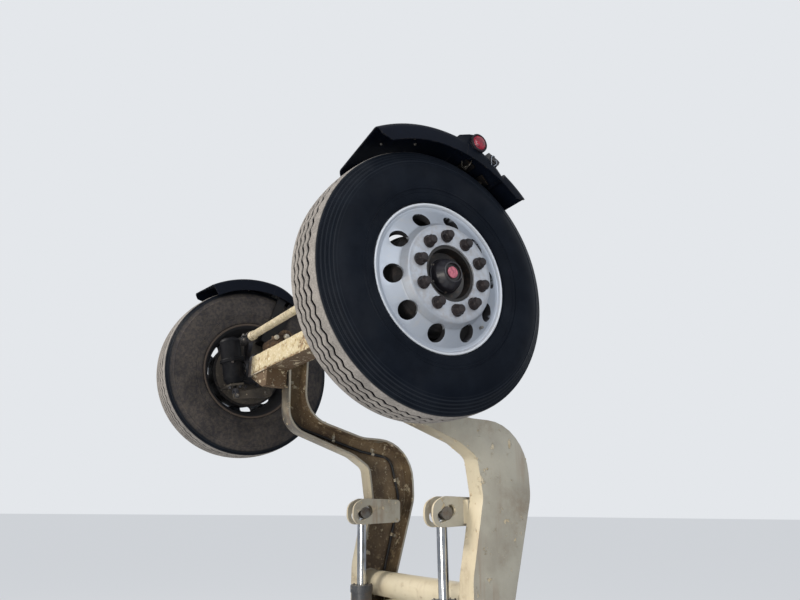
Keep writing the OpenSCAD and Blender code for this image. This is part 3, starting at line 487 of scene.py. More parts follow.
def iron_ends(f):
    side = f.net.sum("ABSOLUTE", f.net.split(f.vector)[0])
    f.blend(f.net.span(side, 0.664, 0.676, 0.0, 0.94), (52, 52, 58))


def painted_well_shade(f):
    """Darkens the well of a hub cap with painted shade, where its plug sits."""
    radius = f.wheel_place()[0]
    f.mottle((25, 25, 30), 0.03)
    f.mottle((62, 57, 55), 0.015, 0.55, 0.75)
    f.blend(f.net.span(radius, 0.0352, 0.0338), (12, 11, 12))


def tyre_marks(f):
    """Shoulder rings, gritty tread, painted shade in the grooves and the film of soil on the inner wall."""
    net = f.net
    radius, away = f.wheel_place()
    side = net.sum("ABSOLUTE", away)
    # Lighter bluish mottle; its blue, like the rubber's, is a painted reflection of blue sky.
    f.mottle((17, 22, 30), 0.12, 0.35, 0.7)
    f.mottle((36, 38, 42), 0.25, 0.5, 0.72, 5.0, 0.22)
    shoulder = net.times(net.span(radius, 0.452, 0.456), net.span(radius, 0.5165, 0.515))
    f.blend(net.times(shoulder, net.span(f.waves(radius, 0.0125), 0.0, 0.9, 0.0, 0.5)), (40, 44, 50))
    crown = net.sum("MULTIPLY_ADD", net.sum("POWER", away, 2.0), -0.776, 0.527)
    depth = net.sum("SUBTRACT", radius, crown)
    tread = net.times(net.span(depth, -0.0042, -0.0014), net.span(side, 0.1, 0.0945))
    dust = net.times(tread, net.span(f.grain(0.07, 6.0, 0.65), 0.3, 0.65, 0.66, 0.95))
    grit = net.span(f.grain(0.006, 4.0, 0.7), 0.35, 0.7)
    f.blend(dust, net.tint(grit, srgb(136, 131, 127), srgb(166, 161, 155)))
    # Painted shade at the bottoms of the grooves.
    f.blend(net.times(net.span(depth, -0.0035, -0.0075), net.span(side, 0.0945, 0.09)), (9, 9, 11))
    film = net.times(net.span(away, 0.0, -0.07), net.span(radius, 0.503, 0.484))
    film = net.times(film, net.span(f.grain(0.14, 5.0), 0.3, 0.6, 0.55, 0.95))
    soil = net.span(f.grain(0.02, 4.0, 0.7), 0.35, 0.68)
    f.blend(film, net.tint(soil, srgb(65, 62, 63), srgb(86, 80, 74)))
    f.rough = net.ramp(net.sum("MAXIMUM", dust, film), 0.0, 1.0, 0.46, 0.92)
    band = net.times(net.span(radius, 0.478, 0.48), net.span(radius, 0.5165, 0.515))
    low = net.times(net.span(radius, 0.352, 0.35), 0.5)
    f.heights.append((net.times(f.waves(radius, 0.005), net.sum("MAXIMUM", band, low)), 0.0005))


def alloy_marks(f):
    """A bowl tinted darker and bluer as a painted reflection, a painted highlight on the rim's lip, brake dust
    round the hub, and painted shade in the holes and on the inner side.
    """
    net = f.net
    radius, away = f.wheel_place()
    # Painted shade: the inner side, the hand holes and the hole walls go near black.
    holes = net.times(net.span(away, 0.1, 0.085), net.span(radius, 0.25, 0.24))
    shaded_hole_walls = net.times(net.span(radius, 0.266, 0.262), net.span(radius, 0.203, 0.208))
    shaded_hole_walls = net.times(shaded_hole_walls, net.span(f.across(), 0.55, 0.4))
    inside = net.sum("MAXIMUM", net.span(away, 0.075, 0.062), net.sum("MAXIMUM", holes, shaded_hole_walls))
    f.mottle((164, 169, 178), 0.15, 0.35, 0.7)
    # Painted reflection: the bowl darker and bluer than the rest of the disc.
    painted_bowl_reflection = net.times(net.span(radius, 0.17, 0.185), net.span(radius, 0.282, 0.276))
    f.blend(net.times(painted_bowl_reflection, 0.85), (151, 157, 166))
    # Painted highlight: a whiter lip at the rim's edge.
    f.blend(net.span(radius, 0.283, 0.287, 0.0, 0.8), (206, 209, 213))
    soil = net.span(f.grain(0.035, 5.0, 0.7), 0.52, 0.7, 0.0, 0.25)
    f.blend(soil, (166, 160, 150))
    near = net.times(net.span(radius, 0.222, 0.17), net.span(f.grain(0.02, 5.0, 0.7), 0.4, 0.66, 0.05, 0.35))
    f.blend(near, (138, 124, 108))
    f.blend(net.times(inside, 0.97), (19, 17, 19))
    f.blend(net.times(net.span(away, 0.0, -0.02), net.span(radius, 0.284, 0.287)), (84, 74, 67))
    f.rough = net.mix(inside, net.ramp(f.grain(0.06, 5.0), 0.3, 0.7, 0.46, 0.58), 0.85)
    f.metallic = net.ramp(net.sum("MAXIMUM", inside, soil), 0.0, 1.0, 0.5, 0.0)
    f.heights.append((f.waves(radius, 0.0011), 0.000012))


SPECULAR = "Specular IOR Level"
# Each finish: its colour, its roughness, its steps in turn, and the shader's other settings.
LOOKS = {
    "Arm paint": ("paint", 0.42, [
        ("mottle", (204, 190, 160), 0.3, 0.4, 0.7), painted_web_shade, ("worn", (116, 84, 60), 0.004, 0.8), painted_flange_shade,
        ("stains", (128, 92, 62), 0.55), ("dirt", "soil", 0.36, 0.26), ("concrete", 0.24, 0.06),
        ("texture", 0.004, 0.0003)], {"Coat Weight": 0.1, "Coat Roughness": 0.3}),
    "Inner arm": ((118, 99, 73), 0.75, [
        ("mottle", (84, 68, 51), 0.12), ("mottle", (150, 131, 102), 0.03, 0.52, 0.72),
        ("dirt", (70, 57, 43), 0.36, 0.15), ("concrete", 0.26, 0.05), ("texture", 0.005, 0.0005)], {}),
    "Frame paint": ("paint", 0.45, [
        ("worn", (100, 76, 58), 0.004, 0.7), ("stains", (120, 88, 60), 0.6), ("dirt", "soil", 0.42, 0.3),
        ("concrete", 0.2, 0.05), ("texture", 0.004, 0.0003)], {}),
    "Beam steel": ((150, 126, 92), 0.8, [
        ("mottle", (104, 80, 56), 0.1, 0.4, 0.68, 4.0, 0.9),
        ("mottle", (196, 176, 138), 0.03, 0.5, 0.72, 6.0, 0.7),
        painted_underside_shade, ("worn", (118, 90, 62), 0.004, 0.35), ("concrete", 0.34, 0.04, 0.003),
        ("texture", 0.005, 0.001, 6.0, 0.7)], {}),
    "Set crust": ((196, 183, 152), 0.95, [
        ("mottle", (172, 154, 118), 0.03, 0.42, 0.66, 6.0, 0.8),
        ("mottle", (222, 214, 194), 0.014, 0.5, 0.7, 5.0, 0.8),
        ("mottle", (126, 104, 74), 0.03, 0.58, 0.7, 6.0, 0.8),
        ("texture", 0.006, 0.0022, 7.0, 0.75)], {SPECULAR: 0.2}),
    "Beam crust": ((184, 172, 142), 0.9, [
        ("mottle", (132, 114, 88), 0.03, 0.44, 0.66, 6.0, 0.85),
        ("mottle", (216, 208, 186), 0.02, 0.5, 0.7, 6.0, 0.7),
        ("concrete", 0.5, 0.03, 0.003, (196, 184, 158)), iron_ends, ("texture", 0.004, 0.0012, 6.0, 0.75)], {}),
    "Concrete lumps": ("concrete", 0.93, [
        ("mottle", (170, 150, 118), 0.03), ("mottle", (230, 220, 198), 0.02, 0.5, 0.7),
        ("texture", 0.004, 0.0008, 6.0, 0.75)], {}),
    "Blue-grey steel": ((102, 103, 110), 0.55, [
        ("mottle", (72, 70, 72), 0.1), ("worn", (140, 140, 142), 0.004, 0.6), ("dirt", (96, 80, 62), 0.45, 0.12),
        ("concrete", 0.16, 0.03), ("texture", 0.004, 0.0004)], {"Metallic": 0.1}),
    "Rough casting": ((82, 64, 50), 0.75, [
        ("mottle", (52, 42, 36), 0.08), ("mottle", (124, 92, 64), 0.03, 0.55, 0.75),
        ("worn", (110, 84, 62), 0.004, 0.5), ("dirt", (104, 84, 62), 0.5, 0.1), ("concrete", 0.18, 0.04),
        ("texture", 0.003, 0.0007, 5.0, 0.7)],
        {"Metallic": 0.1}),
    "Knuckle iron": ((50, 51, 58), 0.6, [
        ("mottle", (36, 36, 40), 0.08), ("mottle", (86, 74, 62), 0.03, 0.58, 0.78),
        ("worn", (104, 98, 94), 0.004, 0.45), ("dirt", (84, 70, 56), 0.4, 0.1), ("concrete", 0.12, 0.03),
        ("texture", 0.003, 0.0006, 5.0, 0.7)],
        {"Metallic": 0.1}),
    "Backing plate": ((68, 62, 56), 0.85, [
        ("mottle", (50, 47, 45), 0.08), ("mottle", (84, 78, 70), 0.03, 0.5, 0.72),
        ("dirt", (74, 68, 60), 0.6, 0.15), ("concrete", 0.1, 0.03), ("texture", 0.003, 0.0006, 5.0, 0.7)], {}),
    "Bright steel": ((206, 202, 192), 0.42, [
        ("mottle", (170, 158, 136), 0.008), ("texture", 0.002, 0.0003)], {"Metallic": 0.3}),
    "Painted weld": ((186, 176, 156), 0.65, [
        ("mottle", (128, 98, 70), 0.02, 0.48, 0.68), ("texture", 0.0022, 0.0006, 4.0, 0.7)], {}),
    "Pin steel": ((118, 116, 112), 0.42, [
        ("mottle", (80, 68, 58), 0.04, 0.45, 0.7), ("worn", (160, 158, 152), 0.002, 0.5),
        ("dirt", "soil", 0.35, 0.06)],
        {"Metallic": 0.75}),
    "Cylinder paint": ((60, 62, 66), 0.42, [
        ("mottle", (44, 44, 48), 0.1), ("worn", (130, 126, 118), 0.003, 0.6), ("dirt", (110, 92, 68), 0.4, 0.15),
        ("concrete", 0.14, 0.03), ("texture", 0.003, 0.0003)], {}),
    "Rod chrome": ((206, 208, 210), 0.12, [
        ("mottle", (176, 172, 164), 0.08, 0.5, 0.75), ("scuff", 0.03, 0.08, 0.24)], {"Metallic": 1.0}),
    "Hose rubber": ((26, 26, 28), 0.55, [
        ("mottle", (60, 52, 42), 0.05, 0.5, 0.72), ("concrete", 0.1, 0.02), ("texture", 0.002, 0.0002)], {}),
    "Zinc plate": ((196, 190, 174), 0.4, [
        ("mottle", (150, 138, 114), 0.02), ("dirt", (150, 128, 96), 0.4, 0.03), ("texture", 0.002, 0.0002)],
        {"Metallic": 0.6}),
    "Fender plastic": ("moulding", 0.36, [
        # The fender's edge wear is partly real wear and partly a painted highlight along its edges.
        ("mottle", (11, 16, 27), 0.3), ("scuff", 0.12, 0.32, 0.54), ("worn", (104, 96, 88), 0.004, 0.3),
        ("dirt", (66, 62, 60), 0.08, 0.25), ("texture", 0.0022, 0.00018, 2.0)], {SPECULAR: 0.07}),
    "Bracket paint": ((16, 17, 21), 0.5, [
        ("mottle", (30, 28, 27), 0.08), ("worn", (92, 72, 56), 0.003, 0.6), ("dirt", (70, 60, 50), 0.3, 0.12),
        ("texture", 0.003, 0.0003)], {SPECULAR: 0.15}),
    "Red lens": ("lens", 0.26, [("mottle", (100, 3, 30), 0.014, 0.4, 0.6)],
        {"Coat Weight": 0.15, "Coat Roughness": 0.16, "IOR": 1.49}),
    "Lamp ring": ((25, 20, 27), 0.45, [("mottle", (62, 52, 54), 0.02, 0.55, 0.8), ("texture", 0.003, 0.0002)],
        {SPECULAR: 0.2}),
    "Grommet rubber": ((28, 28, 31), 0.6, [("mottle", (44, 42, 42), 0.02), ("texture", 0.002, 0.0002)], {}),
    "Wire jacket": ((132, 140, 150), 0.5, [("mottle", (96, 98, 104), 0.01), ("texture", 0.002, 0.0002)], {}),
    "Tyre rubber": ("rubber", 0.6, [tyre_marks, ("texture", 0.0035, 0.0002, 4.0)], {SPECULAR: 0.05}),
    "Wheel alloy": ("alloy", 0.34, [alloy_marks], {SPECULAR: 0.3}),
    "Nut covers": ((37, 32, 33), 0.45, [
        ("mottle", (50, 42, 41), 0.012, 0.45, 0.7), ("mottle", (24, 22, 25), 0.02, 0.45, 0.7),
        ("texture", 0.002, 0.0003)], {SPECULAR: 0.25}),
    "Hub iron": ((30, 26, 24), 0.5, [
        ("mottle", (18, 17, 17), 0.03), ("mottle", (62, 48, 38), 0.02, 0.55, 0.75), ("texture", 0.003, 0.0004)],
        {"Metallic": 0.1}),
    "Cap plastic": ((36, 35, 41), 0.36, [painted_well_shade, ("texture", 0.002, 0.0001)], {}),
    "Plug rubber": ((186, 104, 118), 0.55, [("mottle", (146, 76, 90), 0.01), ("texture", 0.002, 0.0002)], {}),
    "Drum iron": ((28, 26, 27), 0.85, [
        ("mottle", (20, 19, 21), 0.05), ("mottle", (48, 40, 36), 0.02, 0.5, 0.75),
        ("texture", 0.003, 0.0006, 5.0, 0.7)],
        {"Metallic": 0.1}),
    "Chamber paint": ((12, 13, 17), 0.5, [
        ("mottle", (24, 24, 27), 0.05), ("worn", (70, 66, 62), 0.003, 0.4), ("dirt", (50, 47, 45), 0.16, 0.1),
        ("texture", 0.003, 0.0003)], {SPECULAR: 0.1}),
}
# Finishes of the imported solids; a star stands for right and left.
CAD_FINISHES = {
    "Frame paint": "mounting_plate hinge_lugs cylinder_lugs", "Arm paint": "arm_* torsion_tube rod_brackets",
    "Pin steel": "pivot_pins base_pins eye_pin_*", "Beam steel": "axle_beam",
    "Blue-grey steel": "axle_ends kingpins", "Rough casting": "steer_lock knuckle_* brake_spider_*",
    "Hose rubber": "arm_hoses", "Zinc plate": "hose_clips",
    "Cylinder paint": "barrel_*", "Rod chrome": "rod_*", "Chamber paint": "brake_chamber_*",
    "Fender plastic": "fender_*", "Bracket paint": "fender_bracket_*", "Red lens": "marker_lamp_*",
    "Tyre rubber": "tyre_*", "Wheel alloy": "wheel_*", "Hub iron": "hub_*", "Drum iron": "brake_drum_*",
    "Cap plastic": "hub_cap_*", "Nut covers": "wheel_nuts_*", "Beam crust": "tie_rod",
}
FINISHES = {}


def finish(name):
    """The material of that name, built at its first use."""
    if name not in FINISHES:
        tone, rough, steps, settings = LOOKS[name]
        f = Finish(name, tone, rough)
        for step in steps:
            if isinstance(step, tuple):
                getattr(f, step[0])(*step[1:])
            else:
                step(f)
        FINISHES[name] = f.done(settings)
    return FINISHES[name]


# Meshes


def circle(radius, steps, start=0.0):
    """Points round a circle as (a, b), the first one turned by a share of a step."""
    turns = (2 * pi * (i + start) / steps for i in range(steps))
    return [(radius * cos(t), radius * sin(t)) for t in turns]


def corner(a, p, b, radius, steps):
    """Points of the arc that rounds corner p between a and b."""
    if radius <= 0:
        return [p]
    u, v = (a - p).normalized(), (b - p).normalized()
    half = acos(max(-1.0, min(1.0, u.dot(v)))) / 2
    centre = p + (u + v).normalized() * (radius / sin(half))
    reach = radius / tan(half)
    start, end = p + u * reach - centre, p + v * reach - centre
    first = atan2(start.y, start.x)
    turn = (atan2(end.y, end.x) - first + 3 * pi) % (2 * pi) - pi
    turns = (first + turn * i / steps for i in range(steps + 1))
    return [centre + Vector((cos(t), sin(t))) * radius for t in turns]


def rounded(points, steps=4, closed=True):
    """An outline from corners (x, y, radius), in millimetres, as points in metres."""
    flat = [Vector((p[0], p[1])) * MM for p in points]
    out = []
    for i, p in enumerate(points):
        if not closed and i in (0, len(points) - 1):
            out.append(flat[i])
        else:
            out += corner(flat[i - 1], flat[i], flat[(i + 1) % len(flat)], p[2] * MM, steps)
    return out


def linked(name, data):
    obj = bpy.data.objects.new(name, data)
    bpy.context.scene.collection.objects.link(obj)
    return obj


def freed(obj):
    """The mesh of an object that isn't needed any more."""
    mesh = obj.data
    bpy.data.objects.remove(obj)
    return mesh


def ready(obj, body, slot, node=None):
    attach(obj, body)
    if node:
        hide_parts(node)


def piece(name, mesh, material, smooth):
    """A new object at the origin, with its material and smooth shading below an angle."""
    mesh.materials.clear()
    mesh.materials.append(finish(material))
    smooth_under(mesh, smooth)
    return linked(name, mesh)


def smooth_under(mesh, degrees):
    """Shades a mesh smooth, with sharp edges where its faces turn by more than the angle."""
    bm = bmesh.new()
    bm.from_mesh(mesh)
    for face in bm.faces:
        face.smooth = True
    for edge in bm.edges:
        edge.smooth = len(edge.link_faces) == 2 and edge.calc_face_angle(0.0) < radians(degrees)
    bm.to_mesh(mesh)
    bm.free()


def to_mesh(bm, name, outward=True):
    if outward:
        bmesh.ops.recalc_face_normals(bm, faces=bm.faces)
    mesh = bpy.data.meshes.new(name)
    bm.to_mesh(mesh)
    bm.free()
    return mesh


def skin(bm, rings, flip=False):
    """Faces between each two rings of vertices; a ring may be one vertex, repeated."""
    for low, high in zip(rings, rings[1:]):
        for i in range(len(low)):
            j = (i + 1) % len(low)
            corners = (low[i], high[i], high[j], low[j]) if flip else (low[i], low[j], high[j], high[i])
            corners = list(dict.fromkeys(corners))
            if len(corners) > 2:
                bm.faces.new(corners)


def capped(bm, rings):
    skin(bm, rings)
    bm.faces.new(rings[-1])
    bm.faces.new(rings[0][::-1])


def lathe(outline, steps, closed=True):
    """Turns an outline of (radius, along) about X; an open outline starts and ends on the axis."""
    bm = bmesh.new()
    rings = []
    for radius, along in outline:
        if radius < 1e-6:
            rings.append([bm.verts.new((along, 0.0, 0.0))] * steps)
        else:
            rings.append([bm.verts.new((along, *p)) for p in circle(radius, steps)])
    skin(bm, rings + rings[:1] if closed else rings)
    return bm


def mirrored(mesh, name):
    """A mirror image of a mesh for the truck's left side."""
    copy = mesh.copy()
    copy.name = name
    copy.transform(Matrix.Diagonal((-1.0, 1.0, 1.0, 1.0)))
    copy.flip_normals()
    return copy


def both_sides(name, mesh, material, body, slot, replaced=None, smooth=34):
    """The right piece and its mirror image on the left, each on its own body. A wheel's piece is given about
    the wheel's own middle, and is turned and set there."""
    pair = {"right": mesh, "left": mirrored(mesh, f"{name}_left")}
    for side, sign in SIDES.items():
        if body == "wheel":
            pair[side].transform(shift(sign * WHEEL_X, AXLE.y, AXLE.z) @ spin(WHEEL_TURN[side]))
        obj = piece(f"{name}_{side}", pair[side], material, smooth)
        ready(obj, f"{body}_{side}", slot, replaced and f"{replaced}_{side}")


def apply_all(obj):
    """Turns an object's modifiers into plain mesh."""
    view = bpy.context.evaluated_depsgraph_get()
    view.update()
    mesh = bpy.data.meshes.new_from_object(obj.evaluated_get(view))
    obj.modifiers.clear()
    obj.data = mesh
    return obj


def chamfered(obj, width, segments=2, degrees=32.0):
    """The mesh of a temporary object with its edges rounded."""
    bevel = obj.modifiers.new("Edge", "BEVEL")
    bevel.width = width
    bevel.segments = segments
    bevel.limit_method = "ANGLE"
    bevel.angle_limit = radians(degrees)
    return freed(apply_all(obj))


def softened(node, width, segments=2):
    """A CAD node's mesh, merged, with its flat faces made whole and its edges rounded."""
    bm = bmesh.new()
    bm.from_mesh(NODES[node].data)
    bmesh.ops.remove_doubles(bm, verts=bm.verts, dist=2e-5)
    bmesh.ops.dissolve_limit(bm, angle_limit=radians(1.0), verts=bm.verts, edges=bm.edges)
    return chamfered(linked("rounding", to_mesh(bm, node)), width, segments)


def dressed(node, material, slot, width, segments=2, smooth=34):
    """Both of a pair of steered CAD solids, with their edges rounded."""
    mesh = softened(f"{node}_right", width, segments)
    both_sides(node.capitalize(), mesh, material, "knuckle", slot, node, smooth)


def sweep(bm, points, radius, sides=12):
    """Adds a closed round tube along points; radius is one number, or one for each point."""
    points = [Vector(p) for p in points]
    last = len(points) - 1
    radii = radius if isinstance(radius, list) else [radius] * (last + 1)
    aims = [(points[min(i + 1, last)] - points[max(i - 1, 0)]).normalized() for i in range(last + 1)]
    side = aims[0].orthogonal().normalized()
    rings = []
    for point, aim, r in zip(points, aims, radii):
        side = (side - aim * side.dot(aim)).normalized()
        other = aim.cross(side)
        rings.append([bm.verts.new(point + side * a + other * b) for a, b in circle(r, sides)])
    capped(bm, rings)


def block(bm, low, high, place):
    """Adds a box between two corners, moved by a matrix."""
    size = [b - a for a, b in zip(low, high)]
    middle = [(a + b) / 2 for a, b in zip(low, high)]
    bmesh.ops.create_cube(bm, size=1.0, matrix=place @ shift(*middle) @ Matrix.Diagonal((*size, 1.0)))


def turned(bm, outline, place, steps, closed=False):
    """Adds a turned shape whose axis is the X axis of a matrix."""
    part = lathe(outline, steps, closed)
    part.transform(place)
    mesh = to_mesh(part, "turned", outward=False)
    bm.from_mesh(mesh)
    bpy.data.meshes.remove(mesh)


def around(radius, degrees, x):
    """A point at a radius and an angle about the raised axle."""
    t = radians(degrees)
    return AXLE + Vector((x, radius * cos(t), radius * sin(t)))


def smooth_path(points, steps=4):
    """A curve through points, with a number of steps between each two."""
    points = [Vector(p) for p in points]
    ends = [points[0] * 2 - points[1]] + points + [points[-1] * 2 - points[-2]]
    out = []
    for a, b, c, d in zip(ends, ends[1:], ends[2:], ends[3:]):
        for t in (i / steps for i in range(steps)):
            square, cube = 2 * a - 5 * b + 4 * c - d, 3 * b - a - 3 * c + d
            out.append(0.5 * (2 * b + (c - a) * t + square * t * t + cube * t ** 3))
    return out + [points[-1]]


def grow(obj, name, material, **values):
    """Runs a geometry node tree on an object and keeps the plain mesh."""
    tree = group(name)
    modifier = obj.modifiers.new(name, "NODES")
    modifier.node_group = tree
    values["Material"] = finish(material)
    for item in tree.interface.items_tree:
        if item.in_out == "INPUT" and item.name in values:
            modifier[item.identifier] = values[item.name]
    return apply_all(obj)


def grown(name, mesh, tree, smooth, material, body, slot, **values):
    """A piece that a geometry node tree makes from a mesh."""
    obj = grow(linked(name, mesh), tree, material, **values)
    smooth_under(obj.data, smooth)
    ready(obj, body, slot)


def mesh_of(name, verts, edges=()):
    mesh = bpy.data.meshes.new(name)
    mesh.from_pydata([tuple(v) for v in verts], edges, [])
    return mesh


def fasteners(name, rows, body, material="Pin steel", slot="pin_steel", head=None):
    """Heads at a list of (place, aim, size) on one body."""
    mesh = mesh_of(name, [place for place, aim, size in rows])
    mesh.attributes.new("aim", "FLOAT_VECTOR", "POINT")
    mesh.attributes.new("size", "FLOAT", "POINT")
    for i, (place, aim, size) in enumerate(rows):
        mesh.attributes["aim"].data[i].vector = aim
        mesh.attributes["size"].data[i].value = size
    tool = linked("Head", to_mesh((head or hex_head)(), "Head"))
    grown(name, mesh, "Fasteners", 35, material, body, slot, Head=tool)
    bpy.data.objects.remove(tool)


def flipped(rows):
    """The mirror image of rows of fasteners."""
    return [[Vector((-v[0], v[1], v[2])) for v in (place, aim)] + [size] for place, aim, size in rows]


def paired(body, *kinds):
    """Kinds of fasteners of the right side, each (name, rows, material, slot), and their mirror images."""
    for side in SIDES:
        for name, rows, *looks in kinds:
            own = rows if side == "right" else flipped(rows)
            fasteners(f"{name}_{side}", own, f"{body}_{side}", *looks)


def on_frame(matrix, place, aim, size):
    """A fastener's row from a place and an aim in millimetres of a frame."""
    return matrix @ (Vector(place) * MM), (matrix.to_3x3() @ Vector(aim)).normalized(), size


def hex_head():
    """A hexagon head on its washer, one metre across its flats before its scale, along Z."""
    bm = bmesh.new()
    for sides, sections in (
        (24, ((0.72, 0.0), (0.72, 0.1), (0.68, 0.12))), (6, ((0.577, 0.12), (0.577, 0.68), (0.49622, 0.78))),
    ):
        capped(bm, [[bm.verts.new((*p, z)) for p in circle(radius, sides)] for radius, z in sections])
    return bm


def turned_head(*shapes):
    """A head that stands along Z, from outlines and their numbers of sides."""
    bm = bmesh.new()
    for steps, outline in shapes:
        turned(bm, outline, spin(-pi / 2, "Y"), steps)
    return bm


def round_head():
    """A domed head with a washer, one metre across before its scale."""
    return turned_head((20, [
        (0.0, -0.02), (0.62, -0.02), (0.64, 0.04), (0.6, 0.07), (0.5, 0.08), (0.48, 0.2), (0.38, 0.32),
        (0.2, 0.4), (0.0, 0.42)]))


def nipple_head():
    """A grease nipple on its hexagon, one metre across the hexagon before its scale."""
    return turned_head(
        (6, [(0.0, -0.1), (0.577, -0.1), (0.577, 0.42), (0.5, 0.5), (0.0, 0.5)]),
        (16, [(0.0, 0.4), (0.3, 0.4), (0.26, 0.85), (0.36, 0.95), (0.36, 1.1), (0.2, 1.3), (0.0, 1.32)]),
    )


def seams(name, paths, radius, body, slot):
    """Weld beads along a list of open paths on one body."""
    verts, edges = [], []
    for path in paths:
        edges += [(len(verts) + i, len(verts) + i + 1) for i in range(len(path) - 1)]
        verts += path
    grown(name, mesh_of(name, verts, edges), "Weld bead", 60, "Painted weld", body, slot,
          Radius=radius, Spacing=0.006, Ripple=radius * 0.3)


def lumps(name, faces, body, slot, density, largest, seed):
    """Splashed lumps over a list of flat faces, each given as its corners."""
    bm = bmesh.new()
    for corners in faces:
        bm.faces.new([bm.verts.new(c) for c in corners])
    grown(name, to_mesh(bm, name, outward=False), "Splashed lumps", 50, "Concrete lumps", body, slot,
          Density=density, Largest=largest, Seed=seed)


# Tyres and wheels


GROOVES = (50.0, 14.0, -22.0, -58.0)
TREAD_HALF = 95.0
SHOULDER = [
    (519.8, 95), (517.4, 99), (512.4, 102.4), (504, 107.4), (494, 113.6), (484, 119.8), (474, 125.6),
    (472.4, 127.6), (469.4, 128.2), (467.8, 127.6), (455, 132.6), (440, 136.8), (424, 139.4), (406, 140.6),
    (388, 140.2), (370, 138.4), (356, 136), (354.6, 137.4), (350.6, 137), (349.4, 134.6), (341, 132.8),
    (340, 133.8), (337, 133.4), (336, 131.8), (326, 130.4), (316, 128.2), (308, 125), (302, 121),
    (299.5, 116), (299.3, 104.6), (286.3, 104.5), (286.3, 77), (300, 80), (312, 98), (326, 115), (360, 123),
    (412, 126.5), (455, 120), (485, 100), (500, 76), (505, 50), (505, 20),
]


def tyre_outline(settings, swing):
    """Closed outline of the tyre as (radius, across), with its grooves moved aside by swing."""
    def on_crown(across, deep=0.0, aside=0.0):
        return settings.tyre_radius / MM - 7.0 * (across / TREAD_HALF) ** 2 - deep, across + aside

    depth = settings.groove_depth / MM
    points = [(r, -w) for r, w in reversed(SHOULDER)]
    points += [on_crown(w) for w in (-88.0, -74.0)]
    for middle in reversed(GROOVES):
        left, right = middle - 6.6 + swing / MM, middle + 6.6 + swing / MM
        points += [on_crown(left - 0.8), on_crown(left, 0.8), on_crown(left, depth, 1.6),
                   on_crown(right, depth, -1.6), on_crown(right, 0.8), on_crown(right + 0.8)]
        if middle != GROOVES[0]:
            points.append(on_crown(middle + 18.0))
    return points + [on_crown(w) for w in (66.0, 80.0, 90.0)] + SHOULDER


def tyre_pitch(settings):
    """One pitch of the tyre: slices whose grooves run slantwise from side to side."""
    bm = bmesh.new()
    slices = []
    for swing, share in ((-1.0, 0.0), (-0.6, 0.12), (1.0, 0.46), (1.0, 0.6), (-0.7, 0.92), (-1.0, 1.0)):
        t = 2 * pi / settings.tread_pitches * share
        outline = tyre_outline(settings, swing * settings.groove_swing)
        slices.append([bm.verts.new((w * MM, r * MM * cos(t), r * MM * sin(t))) for r, w in outline])
    skin(bm, slices, flip=True)
    return to_mesh(bm, "Tyre pitch", outward=False)


class BOOSTER_OT_tyres(bpy.types.Operator):
    """Makes both tyres from one pitch of their tread"""

    bl_idname = "booster.tyres"
    bl_label = "Tyres"

    def execute(self, context):
        settings = context.scene.booster_wheel
        obj = linked("tyre pitch", tyre_pitch(settings))
        grow(obj, "Ring of copies", "Tyre rubber", Copies=settings.tread_pitches, Join=0.00002)
        bm = bmesh.new()
        bm.from_mesh(obj.data)
        bpy.data.objects.remove(obj)
        both_sides("Tyre", to_mesh(bm, "Tyre"), "Tyre rubber", "wheel", "tyre_rubber", "tyre", 30)
        return {"FINISHED"}


WHEEL_OUTLINE = [
    (298.5, 117, 4), (298.5, 106.3, 4), (285.75, 104.8, 3), (280.75, 68.8, 6), (255.75, 44.8, 14),
    (255.75, -40, 14), (279.75, -66.8, 6), (285.75, -104.8, 3), (298.5, -106.3, 4), (298.5, -117, 4),
    (289.5, -117, 5), (270.75, -96.8, 10), (246.75, -30, 14), (246.75, 78.8, 20), (210, 110, 14),
    (186, 148, 6), (110, 148, 0), (110, 169, 0), (111, 170, 0), (190, 170, 8), (207, 136, 14),
    (269.75, 105, 6), (282.75, 106.8, 4), (289.5, 117, 5),
]
STUD_RADIUS = 0.013
STEM_RADIUS, STEM_ANGLE = 0.0042, radians(-71.0)
# The valve stem and its cap, as (across, radius).
STEM = ((0.058, 0.256), (0.066, 0.2505), (0.08, 0.246), (0.1, 0.2445), (0.128, 0.2435))
STEM_CAP = ((0.118, 0.2438), (0.1335, 0.2434), (0.1345, 0.2434))


def hole_cutter(settings):
    """Cylinders for the hand holes and the stud holes of a wheel."""
    bm = bmesh.new()
    step = 2 * pi / settings.hole_count
    hand = spin(step / 2) @ shift(0.125, settings.hand_circle, 0.0) @ spin(radians(20), "Z")
    stud = shift(0.159, settings.nut_circle, 0.0)
    for i in range(settings.hole_count):
        holes = ((hand, settings.hand_hole / 2, 48, 0.12), (stud, STUD_RADIUS, 24, 0.03))
        for place, radius, sides, long in holes:
            bmesh.ops.create_cone(bm, cap_ends=True, segments=sides, radius1=radius, radius2=radius, depth=long,
                                  matrix=spin(step * i) @ place @ spin(pi / 2, "Y"))
    return to_mesh(bm, "Hole cutter")


class BOOSTER_OT_wheels(bpy.types.Operator):
    """Makes both disc wheels, with chamfered hand holes and stud holes"""

    bl_idname = "booster.wheels"
    bl_label = "Wheels"

    def execute(self, context):
        disc = linked("disc", to_mesh(lathe(rounded(WHEEL_OUTLINE, 5), 200), "Disc wheel"))
        cut = disc.modifiers.new("Holes", "BOOLEAN")
        cut.operation, cut.solver = "DIFFERENCE", "EXACT"
        cut.object = tool = linked("hole cutter", hole_cutter(context.scene.booster_wheel))
        apply_all(disc)
        bpy.data.objects.remove(tool)
        mesh = chamfered(disc, 0.0018, 2, 36)
        both_sides("Disc_wheel", mesh, "Wheel alloy", "wheel", "wheel_alloy", "wheel")
        stem = bmesh.new()
        out = Vector((0, cos(STEM_ANGLE), sin(STEM_ANGLE)))
        sweep(stem, smooth_path([X * x + out * r for x, r in STEM]), STEM_RADIUS)
        sweep(stem, [X * x + out * r for x, r in STEM_CAP], [0.0058, 0.0056, 0.0046])
        both_sides("Valve_stem", to_mesh(stem, "Valve stem"), "Pin steel", "wheel", "pin_steel", None, 40)
        return {"FINISHED"}


